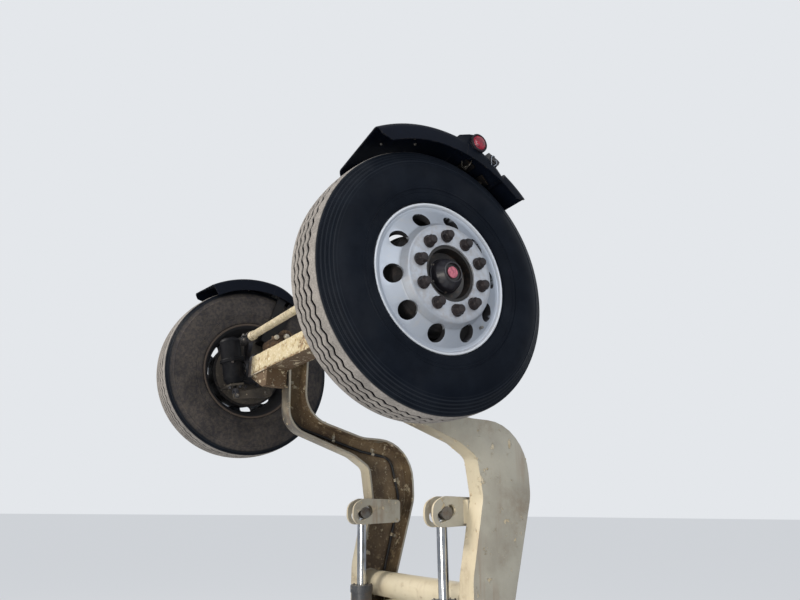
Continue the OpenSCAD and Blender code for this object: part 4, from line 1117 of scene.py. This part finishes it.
# Sections of a capped nut as (radius, along, hexagonal).
NUT = (
    (11.0, 148.0, 0), (11.0, 170.5, 0), (23.6, 170.5, 0), (24.2, 171.3, 0), (24.0, 174.6, 0), (22.6, 176.0, 0),
    (20.6, 176.6, 1), (20.0, 191.0, 1), (18.8, 195.0, 1), (16.6, 197.4, 0), (15.8, 198.6, 0), (15.0, 204.0, 0),
    (12.6, 206.4, 0), (6.0, 207.2, 0),
)


class BOOSTER_OT_wheel_nuts(bpy.types.Operator):
    """Makes the rings of capped wheel nuts"""

    bl_idname = "booster.wheel_nuts"
    bl_label = "Wheel nuts"

    def execute(self, context):
        settings = context.scene.booster_wheel
        bm = bmesh.new()
        rings = []
        for r, x, hexagonal in NUT:
            ring = []
            for a, b in circle(r * MM, 36):
                within = (atan2(b, a) + pi / 6) % (pi / 3) - pi / 6
                factor = 1.07 * cos(pi / 6) / cos(within) if hexagonal else 1.0
                ring.append(bm.verts.new((x * MM, settings.nut_circle + a * factor, b * factor)))
            rings.append(ring)
        capped(bm, rings)
        obj = linked("wheel nut", to_mesh(bm, "Wheel nut"))
        mesh = freed(grow(obj, "Ring of copies", "Nut covers", Copies=settings.hole_count, Join=0.000001))
        both_sides("Wheel_nuts", mesh, "Nut covers", "wheel", "nut_covers", "wheel_nuts", 32)
        return {"FINISHED"}


CAP = [
    (0, 122, 0), (68.5, 122, 1.5), (68.5, 131, 2.5), (65, 133.5, 2), (63.6, 136, 1), (61, 156, 16),
    (42.5, 180, 3), (40.6, 184.5, 1.5), (38, 186, 1), (34.5, 186, 1.2), (33, 176.5, 1), (0, 176.5, 0),
]
PLUG = [
    (0, 175, 0), (22, 175, 0), (22.2, 182, 2), (18.5, 183.6, 1), (17.5, 182, 0.6), (7, 182, 0.5),
    (5.5, 183.8, 0.8), (0, 183.8, 0),
]


class BOOSTER_OT_hub_caps(bpy.types.Operator):
    """Makes the oil caps with their plugs and screws"""

    bl_idname = "booster.hub_caps"
    bl_label = "Hub caps"

    def execute(self, context):
        for name, outline, arc, steps, material, node in (
            ("Hub_cap", CAP, 4, 72, "Cap plastic", "hub_cap"), ("Hub_cap_plug", PLUG, 3, 48, "Plug rubber", None),
        ):
            mesh = to_mesh(lathe(rounded(outline, arc, closed=False), steps, closed=False), name)
            both_sides(name, mesh, material, "wheel", "cap_plastic", node)
        rows = [(AXLE + Vector((WHEEL_X + 0.1305, *p)), X, 0.0085) for p in circle(0.0635, 6, 0.5)]
        paired("wheel", ("Hub_cap_screws", rows))
        return {"FINISHED"}


# Fenders and lamps


ROOF_TURN = 80.0
ROOF_BEND, BEND_RADIUS, ROOF_RADIUS = 0.307, 0.308, 0.615
LENS = [
    (0, 20, 0), (30.5, 20, 0), (31.5, 38, 1), (29, 41.4, 1), (27.4, 41.4, 0.4), (26.6, 39.8, 0.4),
    (25.6, 42.2, 0.6), (19, 44.4, 10), (9, 45.7, 20), (0, 46, 0),
]
GROMMET = [
    (31.8, 14, 0), (37.2, 14, 0), (37.2, 34.2, 0), (39.9, 34.2, 1), (40.3, 37.5, 2.2), (36.5, 41, 2.5),
    (32.6, 40.2, 1.2), (31.8, 38, 0.5),
]
CONNECTOR = (
    ((1.128, 0.589, -0.03), (1.162, 0.624, 0.03)), ((1.158, 0.597, -0.02), (1.168, 0.618, 0.016)),
    ((1.132, 0.61, -0.038), (1.156, 0.628, 0.012)),
)
# Lamp leads as (radius in mm, degrees, across).
LEADS = (
    ((616, 66.9, 1.164), (616, 67.3, 1.171), (611, 68.1, 1.1745), (603, 68.5, 1.1755), (594, 68.6, 1.1755),
     (585, 68.3, 1.175), (577, 67.8, 1.1735), (572, 67.4, 1.1715), (570, 67.2, 1.168)),
    ((604, 66.3, 1.166), (603, 66.1, 1.172), (597, 65.7, 1.1745), (589, 65.5, 1.175), (581, 65.6, 1.174),
     (576, 65.8, 1.1718), (574, 66.0, 1.168)),
)
ROOF_BOLTS = ((97.0, 1.04), (99.5, 1.075), (102.0, 1.11), (112.0, 1.02), (88.0, 1.12))


def slope(x):
    """How far the fender's top falls from its outer edge to a distance across."""
    return 0.037 * (1.17 - x) / 0.35


def roof_radius(degrees, x):
    """Radius of the fender's top at an angle and a distance across, as the solid has it."""
    t = radians(degrees - ROOF_TURN)
    bend = ROOF_BEND * cos(t) + sqrt(BEND_RADIUS ** 2 - (ROOF_BEND * sin(t)) ** 2)
    return (bend if degrees < ROOF_TURN else ROOF_RADIUS) - slope(x)


class BOOSTER_OT_fenders(bpy.types.Operator):
    """Makes the moulded fenders, their brackets, marker lamps and small fittings"""

    bl_idname = "booster.fenders"
    bl_label = "Fenders"

    def execute(self, context):
        dressed("fender", "Fender plastic", "fender_plastic", 0.0022, 2, 32)
        dressed("fender_bracket", "Bracket paint", "bracket_paint", 0.0014)
        for name, outline, closed, material, slot, node in (
            ("Marker_lens", LENS, False, "Red lens", "red_lens", "marker_lamp"),
            ("Lamp_grommet", GROMMET, True, "Lamp ring", "hose_rubber", None),
        ):
            bm = bmesh.new()
            turned(bm, rounded(outline, 4, closed), shift(*LAMP), 64, closed)
            both_sides(name, to_mesh(bm, name), material, "knuckle", slot, node)
        bm = bmesh.new()
        for low, high in CONNECTOR:
            block(bm, low, high, shift(*AXLE) @ spin(radians(67.0)))
        mesh = chamfered(linked("box", to_mesh(bm, "Connector")), 0.0022)
        both_sides("Lamp_connector", mesh, "Grommet rubber", "knuckle", "hose_rubber")
        bm = bmesh.new()
        for path in LEADS:
            sweep(bm, smooth_path([around(r * MM, a, x) for r, a, x in path]), 0.0019, 8)
        both_sides("Lamp_wires", to_mesh(bm, "Lamp wires"), "Wire jacket", "knuckle", "clip_zinc", None, 50)
        bm = bmesh.new()
        inner = roof_radius(72.5, 1.07) - 0.0045
        turns = [pi * i / 14 for i in range(15)]
        sweep(bm, [around(inner - 0.021 * sin(t), 72.5, 1.07 + 0.024 * cos(t)) for t in turns], 0.0022, 10)
        post = roof_radius(75.0, 1.06) - 0.0055
        hook = [around(post, 75.0, 1.06), around(post - 0.026, 74.4, 1.06), around(post - 0.03, 74.0, 1.064)]
        sweep(bm, hook, 0.003, 10)
        both_sides("Fender_loop", to_mesh(bm, "Fender loop"), "Pin steel", "knuckle", "pin_steel", None, 50)
        rows, tops = [], []
        for degrees, x in ROOF_BOLTS:
            aim = AXLE - around(1.0, degrees, 0.0)
            rows.append((around(roof_radius(degrees, x) - 0.0062, degrees, x), aim, 0.009))
        for degrees in (45.3, 64.0):
            radial = around(1.0, degrees, 0.0) - AXLE
            for x in (0.905, 0.98, 1.055):
                middle, out = around(ROOF_BEND, ROOF_TURN, x), BEND_RADIUS - slope(x)
                rows.append((middle + radial * (out - 0.0152), -radial, 0.013))
                tops.append((middle + radial * (out + 0.0002), radial, 0.02))
        rivets = ("Fender_rivets", tops, "Bracket paint", "bracket_paint", round_head)
        paired("knuckle", ("Fender_bolts", rows), rivets)
        return {"FINISHED"}


# Crust of set concrete


NOISE_SEED = 7


def crust(bm, start, across, up, columns, rows, seed, depth, cover, ragged):
    """Adds a closed sheet of set concrete on a flat face; ragged is how far its lower edge breaks up."""
    normal = across.cross(up)
    cell = 0.005
    height = {}
    for i in range(columns + 1):
        for j in range(rows + 1):
            q = start + across * (i * cell) + up * (j * cell) + Vector((seed, seed * 0.7, seed * 1.3))
            broad = noise.fractal(q / 0.075, 0.9, 2.0, 4)
            chunk = noise.fractal(q / 0.02, 0.8, 2.1, 4)
            edge = noise.fractal(q / 0.05, 0.8, 2.2, 4)
            low = j / rows - ragged * (0.5 + 0.9 * edge)
            inside = min(low, 1.05 - j / rows, i + 0.5, columns - i + 0.5)
            value = min(1.0, max(0.0, (broad + cover) * 2.6)) * (0.66 + 0.5 * chunk + 0.25 * broad)
            height[i, j] = depth * value if inside > 0.0 else 0.0
    around_it = ((0, 0), (1, 0), (1, 1), (0, 1))
    kept = {
        (i, j) for i in range(columns) for j in range(rows)
        if min(height[i + a, j + b] for a, b in around_it) > 0.0004
    }
    top, base = {}, {}
    for cell_at in kept:
        for key in ((cell_at[0] + a, cell_at[1] + b) for a, b in around_it):
            if key not in top:
                wander = noise.noise_vector(Vector((key[0] * 0.9, key[1] * 0.9, seed))) * (cell * 0.3)
                flat = start + across * (key[0] * cell + wander.x) + up * (key[1] * cell + wander.y)
                whole = all((key[0] - a, key[1] - b) in kept for a, b in around_it)
                top[key] = bm.verts.new(flat + normal * (height[key] * (1.0 if whole else 0.55)))
                base[key] = bm.verts.new(flat - normal * 0.001)
    for i, j in kept:
        ring = [(i + a, j + b) for a, b in around_it]
        bm.faces.new([top[k] for k in ring])
        bm.faces.new([base[k] for k in reversed(ring)])
        for k, other in enumerate(((i, j - 1), (i + 1, j), (i, j + 1), (i - 1, j))):
            if other not in kept:
                a, b = ring[k], ring[(k + 1) % 4]
                bm.faces.new((top[b], top[a], base[a], base[b]))


class BOOSTER_OT_crusts(bpy.types.Operator):
    """Lays set concrete on the axle beam"""

    bl_idname = "booster.crusts"
    bl_label = "Set concrete"

    def execute(self, context):
        look = context.scene.booster_crust
        noise.seed_set(NOISE_SEED)
        bm = bmesh.new()
        start = Vector((-BEAM_END, BEAM_REAR, BEAM_LOW - 0.0005))
        crust(bm, start, X, Z, 280, 22, 3.1, look.thickness * 1.5, 0.62, 0.1)
        for sign, depth, seed in ((1, 0.002, 7.7), (-1, 0.122, 5.2)):
            start = Vector((-0.694 * sign, BEAM_REAR + depth, BEAM_LOW + 0.001))
            crust(bm, start, Y * sign, X * sign, 24, 46, seed, look.thickness, 0.2, 0.0)
        ready(piece("Beam_crust", to_mesh(bm, "Beam crust"), "Set crust", 50), "swing", "crusted_beam")
        end, rear, front, low, high = BEAM_END, BEAM_REAR, BEAM_REAR + BEAM_DEEP, BEAM_LOW, BEAM_HIGH
        faces = [
            [(-end, rear, low), (end, rear, low), (end, rear, high), (-end, rear, high)],
            [(-end, front, low), (-end, rear, low), (-0.45, rear, low), (-0.45, front, low)],
            [(-end, rear, high), (end, rear, high), (end, front, high), (-end, front, high)],
        ]
        lumps("Beam_lumps", faces, "swing", "crusted_beam", look.lumps, look.lump_size, 5)
        return {"FINISHED"}


# Arms, hoses and steering


def facing_in(mesh, reach=0.35):
    """Which faces of a channel look into it."""
    tree = BVHTree.FromPolygons([v.co for v in mesh.vertices], [p.vertices for p in mesh.polygons])
    inward = []
    for face in mesh.polygons:
        middle, normal = face.center, face.normal
        hit = tree.ray_cast(middle + normal * 0.002, normal, reach)
        web = abs(normal.x) > 0.7 and normal.x * middle.x < 0 and abs(middle.x) > 0.53
        inward.append(int(web or (hit[0] is not None and abs(normal.x) < 0.5)))
    return inward


BORE = (0.0322, 0.0329)
BORE_ROOM = 0.00015


def open_bore(mesh):
    """Moves the pivot's bore out by a hair, so that its facets clear the pin's."""
    low, high = (Vector(c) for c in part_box("pivot_pins"))
    middle = (low + high) / 2
    for vertex in mesh.vertices:
        out = vertex.co - middle
        out.x = 0.0
        if BORE[0] < out.length < BORE[1]:
            vertex.co += out.normalized() * BORE_ROOM


class BOOSTER_OT_arms(bpy.types.Operator):
    """Makes the channel arms with a painted outside, a soiled inside and splashed lumps"""

    bl_idname = "booster.arms"
    bl_label = "Arms"

    def execute(self, context):
        mesh = softened("arm_right", 0.0018)
        open_bore(mesh)
        inward = facing_in(mesh)
        splashed = []
        for face in mesh.polygons:
            if abs(face.normal.x) < 0.5 and face.area > 2e-4 and (face.normal.y < -0.25 or face.center.z > 0.9):
                corners = [tuple(mesh.vertices[i].co) for i in face.vertices]
                splashed += [corners, [(-x, y, z) for x, y, z in corners]]
        look = context.scene.booster_crust
        lumps("Arm_lumps", splashed, "swing", "crusted_beam", look.lumps * 0.5, look.lump_size, 12)
        for side, own in (("right", mesh), ("left", mirrored(mesh, "Arm_left"))):
            arm = piece(f"Arm_{side}", own, "Arm paint", 34)
            own.materials.append(finish("Inner arm"))
            own.polygons.foreach_set("material_index", inward)
            ready(arm, "swing", "arm_paint", f"arm_{side}")
        return {"FINISHED"}


HOSE_X, HOSE_RADIUS = 0.529, 0.008
# The hose's way in the arm, as (y, z, bend) from the pivot.
HOSE_ROUTE = [
    (-558, 1426, 0), (-545, 1060, 150), (-60, 930, 120), (150, 900, 90), (215, 660, 160), (124, 290, 150),
    (100, 152, 0),
]
# Outlines of a hose's ferrule and of its nut, with their numbers of sides.
FERRULES = (
    ([(0.0084, -0.002), (0.0118, 0.0), (0.0118, 0.014), (0.0104, 0.016), (0.0112, 0.019), (0.0112, 0.03),
      (0.0104, 0.032), (0.0112, 0.035), (0.0108, 0.044), (0.0084, 0.046)], 24),
    ([(0.0084, 0.001), (0.0145, 0.001), (0.0152, 0.003), (0.0152, 0.012), (0.0145, 0.013), (0.0084, 0.013)], 6),
)


class BOOSTER_OT_hoses(bpy.types.Operator):
    """Makes the brake hoses in the arms with their end fittings"""

    bl_idname = "booster.hoses"
    bl_label = "Hoses"

    def execute(self, context):
        route = [PIVOT + Vector((HOSE_X, p.x, p.y)) for p in rounded(HOSE_ROUTE, 16, closed=False)]
        hose, fittings = bmesh.new(), bmesh.new()
        sweep(hose, route, HOSE_RADIUS, 18)
        for end, after in ((route[0], route[1]), (route[-1], route[-2])):
            place = shift(*end) @ (after - end).normalized().to_track_quat("X", "Y").to_matrix().to_4x4()
            for outline, steps in FERRULES:
                turned(fittings, outline, place, steps, closed=True)
        for name, bm, material, slot, node in (
            ("Brake_hoses", hose, "Hose rubber", "hose_rubber", "arm_hoses"),
            ("Hose_ferrules", fittings, "Zinc plate", "clip_zinc", None),
        ):
            right = to_mesh(bm, name)
            both = bmesh.new()
            both.from_mesh(right)
            both.from_mesh(mirrored(right, f"{name} left"))
            ready(piece(name, to_mesh(both, name), material, 40), "swing", slot, node)
        return {"FINISHED"}


BOOT = [
    (0.0, 0.012), (0.02, 0.012), (0.0235, 0.016), (0.0205, 0.0195), (0.022, 0.0225), (0.018, 0.0262),
    (0.013, 0.0275), (0.0, 0.0275),
]
CLAMP = [(0.026, -0.013), (0.0325, -0.013), (0.0325, 0.013), (0.026, 0.013)]
LUG_TURNS = (0.3, 3.44)
LOCK_BOLT_TURNS = (0.5, 1.6, 2.7, 3.8, 4.9, 6.0)
LOCK_END = [(0.0, 0.0085), (0.0168, 0.0085), (0.0172, 0.012), (0.014, 0.0205), (0.007, 0.0245), (0.0, 0.0255)]
LOCK_BUTTON = [(0.0, 0.006), (0.0128, 0.006), (0.0134, 0.009), (0.012, 0.0165), (0.006, 0.019), (0.0, 0.0195)]


def knuckle_fittings():
    """Bolts, nipples, boots, yokes and chamber lugs of the steered parts."""
    bolts = [on_frame(KINGPIN, (124.0, *p), (-1, 0, 0), 0.019) for p in circle(100, 8, 0.5)]
    for end, height in ((1, 84), (-1, -83)):
        bolts += [on_frame(KINGPIN, (*p, height), (0, 0, end), 0.009) for p in circle(22, 4, 0.5)]
    for t in LUG_TURNS:
        bolts.append(on_frame(KINGPIN, (-36 + 71 * cos(t), -36, -160 + 71 * sin(t)), (0, 1, 0), 0.013))
    bolts += [on_frame(KINGPIN, (-36, 102, z), (0, 1, 0), 0.019) for z in (-190, -130)]
    paired("knuckle", ("Knuckle_bolts", bolts, "Knuckle iron", "rough_casting"))
    lugs, boots, yoke = bmesh.new(), bmesh.new(), bmesh.new()
    for t in LUG_TURNS:
        spot = CAMSHAFT @ shift(0, -0.047, 0) @ spin(-t, "Y")
        block(lugs, (0.062, -0.011, -0.009), (0.084, 0.011, 0.009), spot)
    mesh = chamfered(linked("lugs", to_mesh(lugs, "Chamber lugs")), 0.0016)
    both_sides("Chamber_lugs", mesh, "Chamber paint", "knuckle", "chamber_paint")
    turned(boots, BOOT, KINGPIN @ BALL_STUD @ spin(-pi / 2, "Y"), 36)
    both_sides("Ball_boots", to_mesh(boots, "Ball boots"), "Grommet rubber", "knuckle", "hose_rubber", None, 40)
    for x in (-0.0215, 0.0145):
        block(yoke, (x, 0.128, -0.013), (x + 0.007, 0.174, 0.013), CAMSHAFT)
    block(yoke, (-0.0215, 0.118, -0.013), (0.0215, 0.13, 0.013), CAMSHAFT)
    mesh = chamfered(linked("yoke", to_mesh(yoke, "Push rod yoke")), 0.0016)
    both_sides("Push_rod_yoke", mesh, "Knuckle iron", "knuckle", "rough_casting")
    nipples = [on_frame(KINGPIN, *row) for row in (
        ((0, 0, 87.5), (0, 0, 1), 0.012), ((0, 0, -87.5), (0, 0, -1), 0.012),
        ((-60, 160, 14), (-1, 0.3, -0.6), 0.012), ((-60, 160, -160), (-1, 0, 0), 0.018),
        ((-12, 160, -160), (1, 0, 0), 0.014),
    )]
    paired("knuckle", ("Grease_nipples", nipples, "Pin steel", "pin_steel", nipple_head))


def tie_rod_fittings(look):
    """Clamps, their bolts and the splashed lumps of the tie rod."""
    clamps = bmesh.new()
    for sign in (1, -1):
        ring = TIE_ROD @ shift(sign * 0.655, 0, 0)
        turned(clamps, CLAMP, ring, 36, closed=True)
        for y in (-0.009, 0.003):
            block(clamps, (-0.013, y, -0.056), (0.013, y + 0.006, -0.029), ring)
    obj = piece("Tie_rod_clamps", to_mesh(clamps, "Tie rod clamps"), "Knuckle iron", 34)
    ready(obj, "tie_rod", "rough_casting")
    rows = [on_frame(TIE_ROD, (x, y, -45), (0, y, 0), 0.013) for x in (655, -655) for y in (9, -9)]
    fasteners("Tie_rod_bolts", rows, "tie_rod")
    corners = [TIE_ROD @ Vector((0, *p)) for p in circle(0.022, 8)]
    faces = []
    for a, b in zip(corners, corners[1:] + corners[:1]):
        faces.append([(x, p.y, p.z) for x, p in ((-0.59, a), (0.59, a), (0.59, b), (-0.59, b))])
    lumps("Tie_rod_lumps", faces, "tie_rod", "crusted_rod", look.lumps * 1.6, look.lump_size * 0.75, 9)


def lock_fittings():
    """Bolts and bright ends of the steering lock."""
    rows = [on_frame(STEER_LOCK, (0, 31 * cos(t), 31 * sin(t)), X, 0.012) for t in LOCK_BOLT_TURNS]
    fasteners("Lock_bolts", rows, "swing", "Rough casting", "rough_casting")
    ends = bmesh.new()
    turned(ends, LOCK_END, STEER_LOCK, 32)
    for y in (-0.058, 0.058):
        turned(ends, LOCK_BUTTON, STEER_LOCK @ shift(0, y, -0.01), 24)
    ready(piece("Lock_ends", to_mesh(ends, "Lock ends"), "Bright steel", 40), "swing", "pin_steel")


class BOOSTER_OT_fittings(bpy.types.Operator):
    """Rounds the steering and brake parts and adds bolts, nipples, boots, clamps and lumps"""

    bl_idname = "booster.fittings"
    bl_label = "Fittings"

    def execute(self, context):
        dressed("knuckle", "Knuckle iron", "rough_casting", 0.002)
        dressed("brake_spider", "Backing plate", "rough_casting", 0.0012, 1)
        knuckle_fittings()
        tie_rod_fittings(context.scene.booster_crust)
        pins = []
        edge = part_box("pivot_pins")[1][0]
        for x, aim in ((edge, X), (1.0 - edge, -X)):
            pins += [(PIVOT + Vector((x, y, 0.0)), aim, 0.016) for y in (-0.026, 0.026)]
        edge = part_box("base_pins")[1][0]
        pins += [(PIVOT + Vector((x, -0.11, -0.23)), aim, 0.014) for x, aim in ((edge, X), (0.75 - edge, -X))]
        fasteners("Pin_bolts", pins + flipped(pins), "root")
        gland = [on_frame(BASE_PIN, (a, 436, b), (0, 1, 0), 0.0085) for a, b in circle(52, 8, 0.5)]
        paired("barrel", ("Gland_screws", gland))
        lock_fittings()
        return {"FINISHED"}


class BOOSTER_OT_welds(bpy.types.Operator):
    """Lays the weld beads of the arms, the beam and the frame lugs"""

    bl_idname = "booster.welds"
    bl_label = "Welds"

    def execute(self, context):
        arm_seams, frame_seams = [], []
        rear, front = BEAM_REAR - 0.001, BEAM_REAR + BEAM_DEEP + 0.001
        for sign in (1, -1):
            tube = PIVOT + Vector((sign * 0.5385, 0.03, 0.205))
            ring = [tube + Vector((0, *p)) for p in circle(0.0665, 40)]
            end = [(rear, BEAM_LOW), (rear, BEAM_HIGH), (front, BEAM_HIGH), (front, BEAM_LOW)]
            arm_seams += [ring + ring[:1], [(sign * 0.699, *p) for p in end]]
            for y in (rear + 0.0005, front - 0.0005):
                arm_seams.append([(sign * x, y, BEAM_LOW - 0.001) for x in (0.692, 0.462)])
            for x in (0.4255, 0.4455, 0.5545, 0.5745):
                frame_seams.append([(sign * x, -0.0205, z) for z in (-0.046, 0.226)])
        seams("Arm_welds", arm_seams, 0.0042, "swing", "crusted_beam")
        seams("Frame_welds", frame_seams, 0.004, "root", "arm_paint")
        return {"FINISHED"}


# Stage


FLOOR_REACH = 400.0
# Each lamp: place, aim, size, energy and colour.
LAMPS = {
    "Key light": ((-3.2, -6.2, 5.6), (0.0, -0.8, 1.2), 2.6, 560.0, (1.0, 0.95, 0.88)),
    "Side light": ((6.4, -1.6, 3.4), (0.6, -0.8, 1.1), 4.0, 170.0, (0.95, 0.97, 1.0)),
    "Low light": ((2.8, -4.8, 0.3), (0.4, -0.8, 1.1), 2.0, 95.0, (1.0, 0.94, 0.85)),
}
BACKDROP = (*srgb(228, 231, 235), 1.0)


def pale_floor(height):
    corners = [(x * FLOOR_REACH, y * FLOOR_REACH, height) for x, y in ((-1, -1), (1, -1), (1, 1), (-1, 1))]
    mesh = bpy.data.meshes.new("Floor")
    mesh.from_pydata(corners, [], [(0, 1, 2, 3)])
    material = bpy.data.materials.new("Pale floor")
    net = bare(material)
    paint = net.out("ShaderNodeBsdfDiffuse", {"Color": colour4(srgb(222, 224, 226))})
    glow = net.out("ShaderNodeEmission", {"Color": BACKDROP, "Strength": 1.0})
    share = net.times(net.add("ShaderNodeLightPath").outputs["Is Camera Ray"], 0.72)
    both = net.out("ShaderNodeMixShader", {0: share, 1: paint, 2: glow})
    net.add("ShaderNodeOutputMaterial", {"Surface": both})
    mesh.materials.append(material)
    linked("Floor", mesh)


def pale_room(scene):
    """A world that lights softly and shows as a plain pale background, in reflections too."""
    scene.world = bpy.data.worlds.new("Pale room")
    net = bare(scene.world)
    path = net.add("ShaderNodeLightPath").outputs
    shiny = net.sum("MAXIMUM", path["Is Glossy Ray"], path["Is Transmission Ray"])
    lit = net.out("ShaderNodeBackground", {"Color": colour4(srgb(222, 230, 242)), "Strength": 0.42})
    back = net.out("ShaderNodeBackground", {"Color": BACKDROP, "Strength": 1.0})
    seen = net.sum("MAXIMUM", path["Is Camera Ray"], shiny)
    net.add("ShaderNodeOutputWorld", {"Surface": net.out("ShaderNodeMixShader", {0: seen, 1: lit, 2: back})})


def add_lamp(name, place, aim, size, energy, tone):
    data = bpy.data.lights.new(name, "AREA")
    data.shape = "DISK"
    data.size, data.energy, data.color = size, energy, tone
    obj = linked(name, data)
    obj.location = place
    obj.rotation_mode = "QUATERNION"
    obj.rotation_quaternion = (Vector(aim) - Vector(place)).to_track_quat("-Z", "Y")


def add_camera(scene, settings):
    data = bpy.data.cameras.new("Camera")
    data.sensor_width, data.lens, data.clip_end = 36.0, settings.lens, 900.0
    scene.camera = linked("Camera", data)
    scene.camera.location = settings.place
    a, p, r = settings.bearing, settings.rise, settings.roll
    forward = Vector((-sin(a) * cos(p), cos(a) * cos(p), sin(p)))
    across = Vector((cos(a), sin(a), 0.0))
    up = across.cross(forward)
    right, up = across * cos(r) + up * sin(r), up * cos(r) - across * sin(r)
    scene.camera.rotation_euler = Matrix((right, up, -forward)).transposed().to_euler()


class BOOSTER_OT_stage(bpy.types.Operator):
    """Sets the floor, the studio light and the camera"""

    bl_idname = "booster.stage"
    bl_label = "Stage"

    def execute(self, context):
        scene = context.scene
        pale_floor(scene.booster_stage.floor)
        pale_room(scene)
        for name, settings in LAMPS.items():
            add_lamp(name, *settings)
        add_camera(scene, scene.booster_stage)
        scene.view_settings.view_transform = "Standard"
        return {"FINISHED"}


class BOOSTER_OT_finishes(bpy.types.Operator):
    """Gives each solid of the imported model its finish"""

    bl_idname = "booster.finishes"
    bl_label = "Finishes"

    def execute(self, context):
        for name, nodes in CAD_FINISHES.items():
            for node in {n.replace("*", side) for n in nodes.split() for side in SIDES}:
                mesh = NODES[node].data
                mesh.materials.clear()
                mesh.materials.append(finish(name))
        return {"FINISHED"}


OPERATORS = (
    BOOSTER_OT_stage, BOOSTER_OT_finishes, BOOSTER_OT_tyres, BOOSTER_OT_wheels, BOOSTER_OT_wheel_nuts,
    BOOSTER_OT_hub_caps, BOOSTER_OT_fenders, BOOSTER_OT_crusts, BOOSTER_OT_arms, BOOSTER_OT_hoses,
    BOOSTER_OT_fittings, BOOSTER_OT_welds,
)


class BOOSTER_PT_panel(bpy.types.Panel):
    """Lists the steps that dress the booster axle"""

    bl_label = "Booster Axle"
    bl_idname = "BOOSTER_PT_panel"
    bl_space_type = "VIEW_3D"
    bl_region_type = "UI"
    bl_category = "Booster"

    def draw(self, context):
        for operator in OPERATORS:
            self.layout.operator(operator.bl_idname)


SETTINGS = {
    "booster_wheel": WheelSettings, "booster_crust": CrustSettings,
    "booster_finish": FinishSettings, "booster_stage": StageSettings,
}


def register():
    for name, settings in SETTINGS.items():
        bpy.utils.register_class(settings)
        setattr(bpy.types.Scene, name, PointerProperty(type=settings))
    for operator in OPERATORS:
        bpy.utils.register_class(operator)
    bpy.utils.register_class(BOOSTER_PT_panel)


def unregister():
    bpy.utils.unregister_class(BOOSTER_PT_panel)
    for operator in reversed(OPERATORS):
        bpy.utils.unregister_class(operator)
    for name, settings in reversed(SETTINGS.items()):
        delattr(bpy.types.Scene, name)
        bpy.utils.unregister_class(settings)


def main():
    register()
    for operator in OPERATORS:
        family, name = operator.bl_idname.split(".")
        getattr(getattr(bpy.ops, family), name)()


if __name__ == "__main__":
    main()
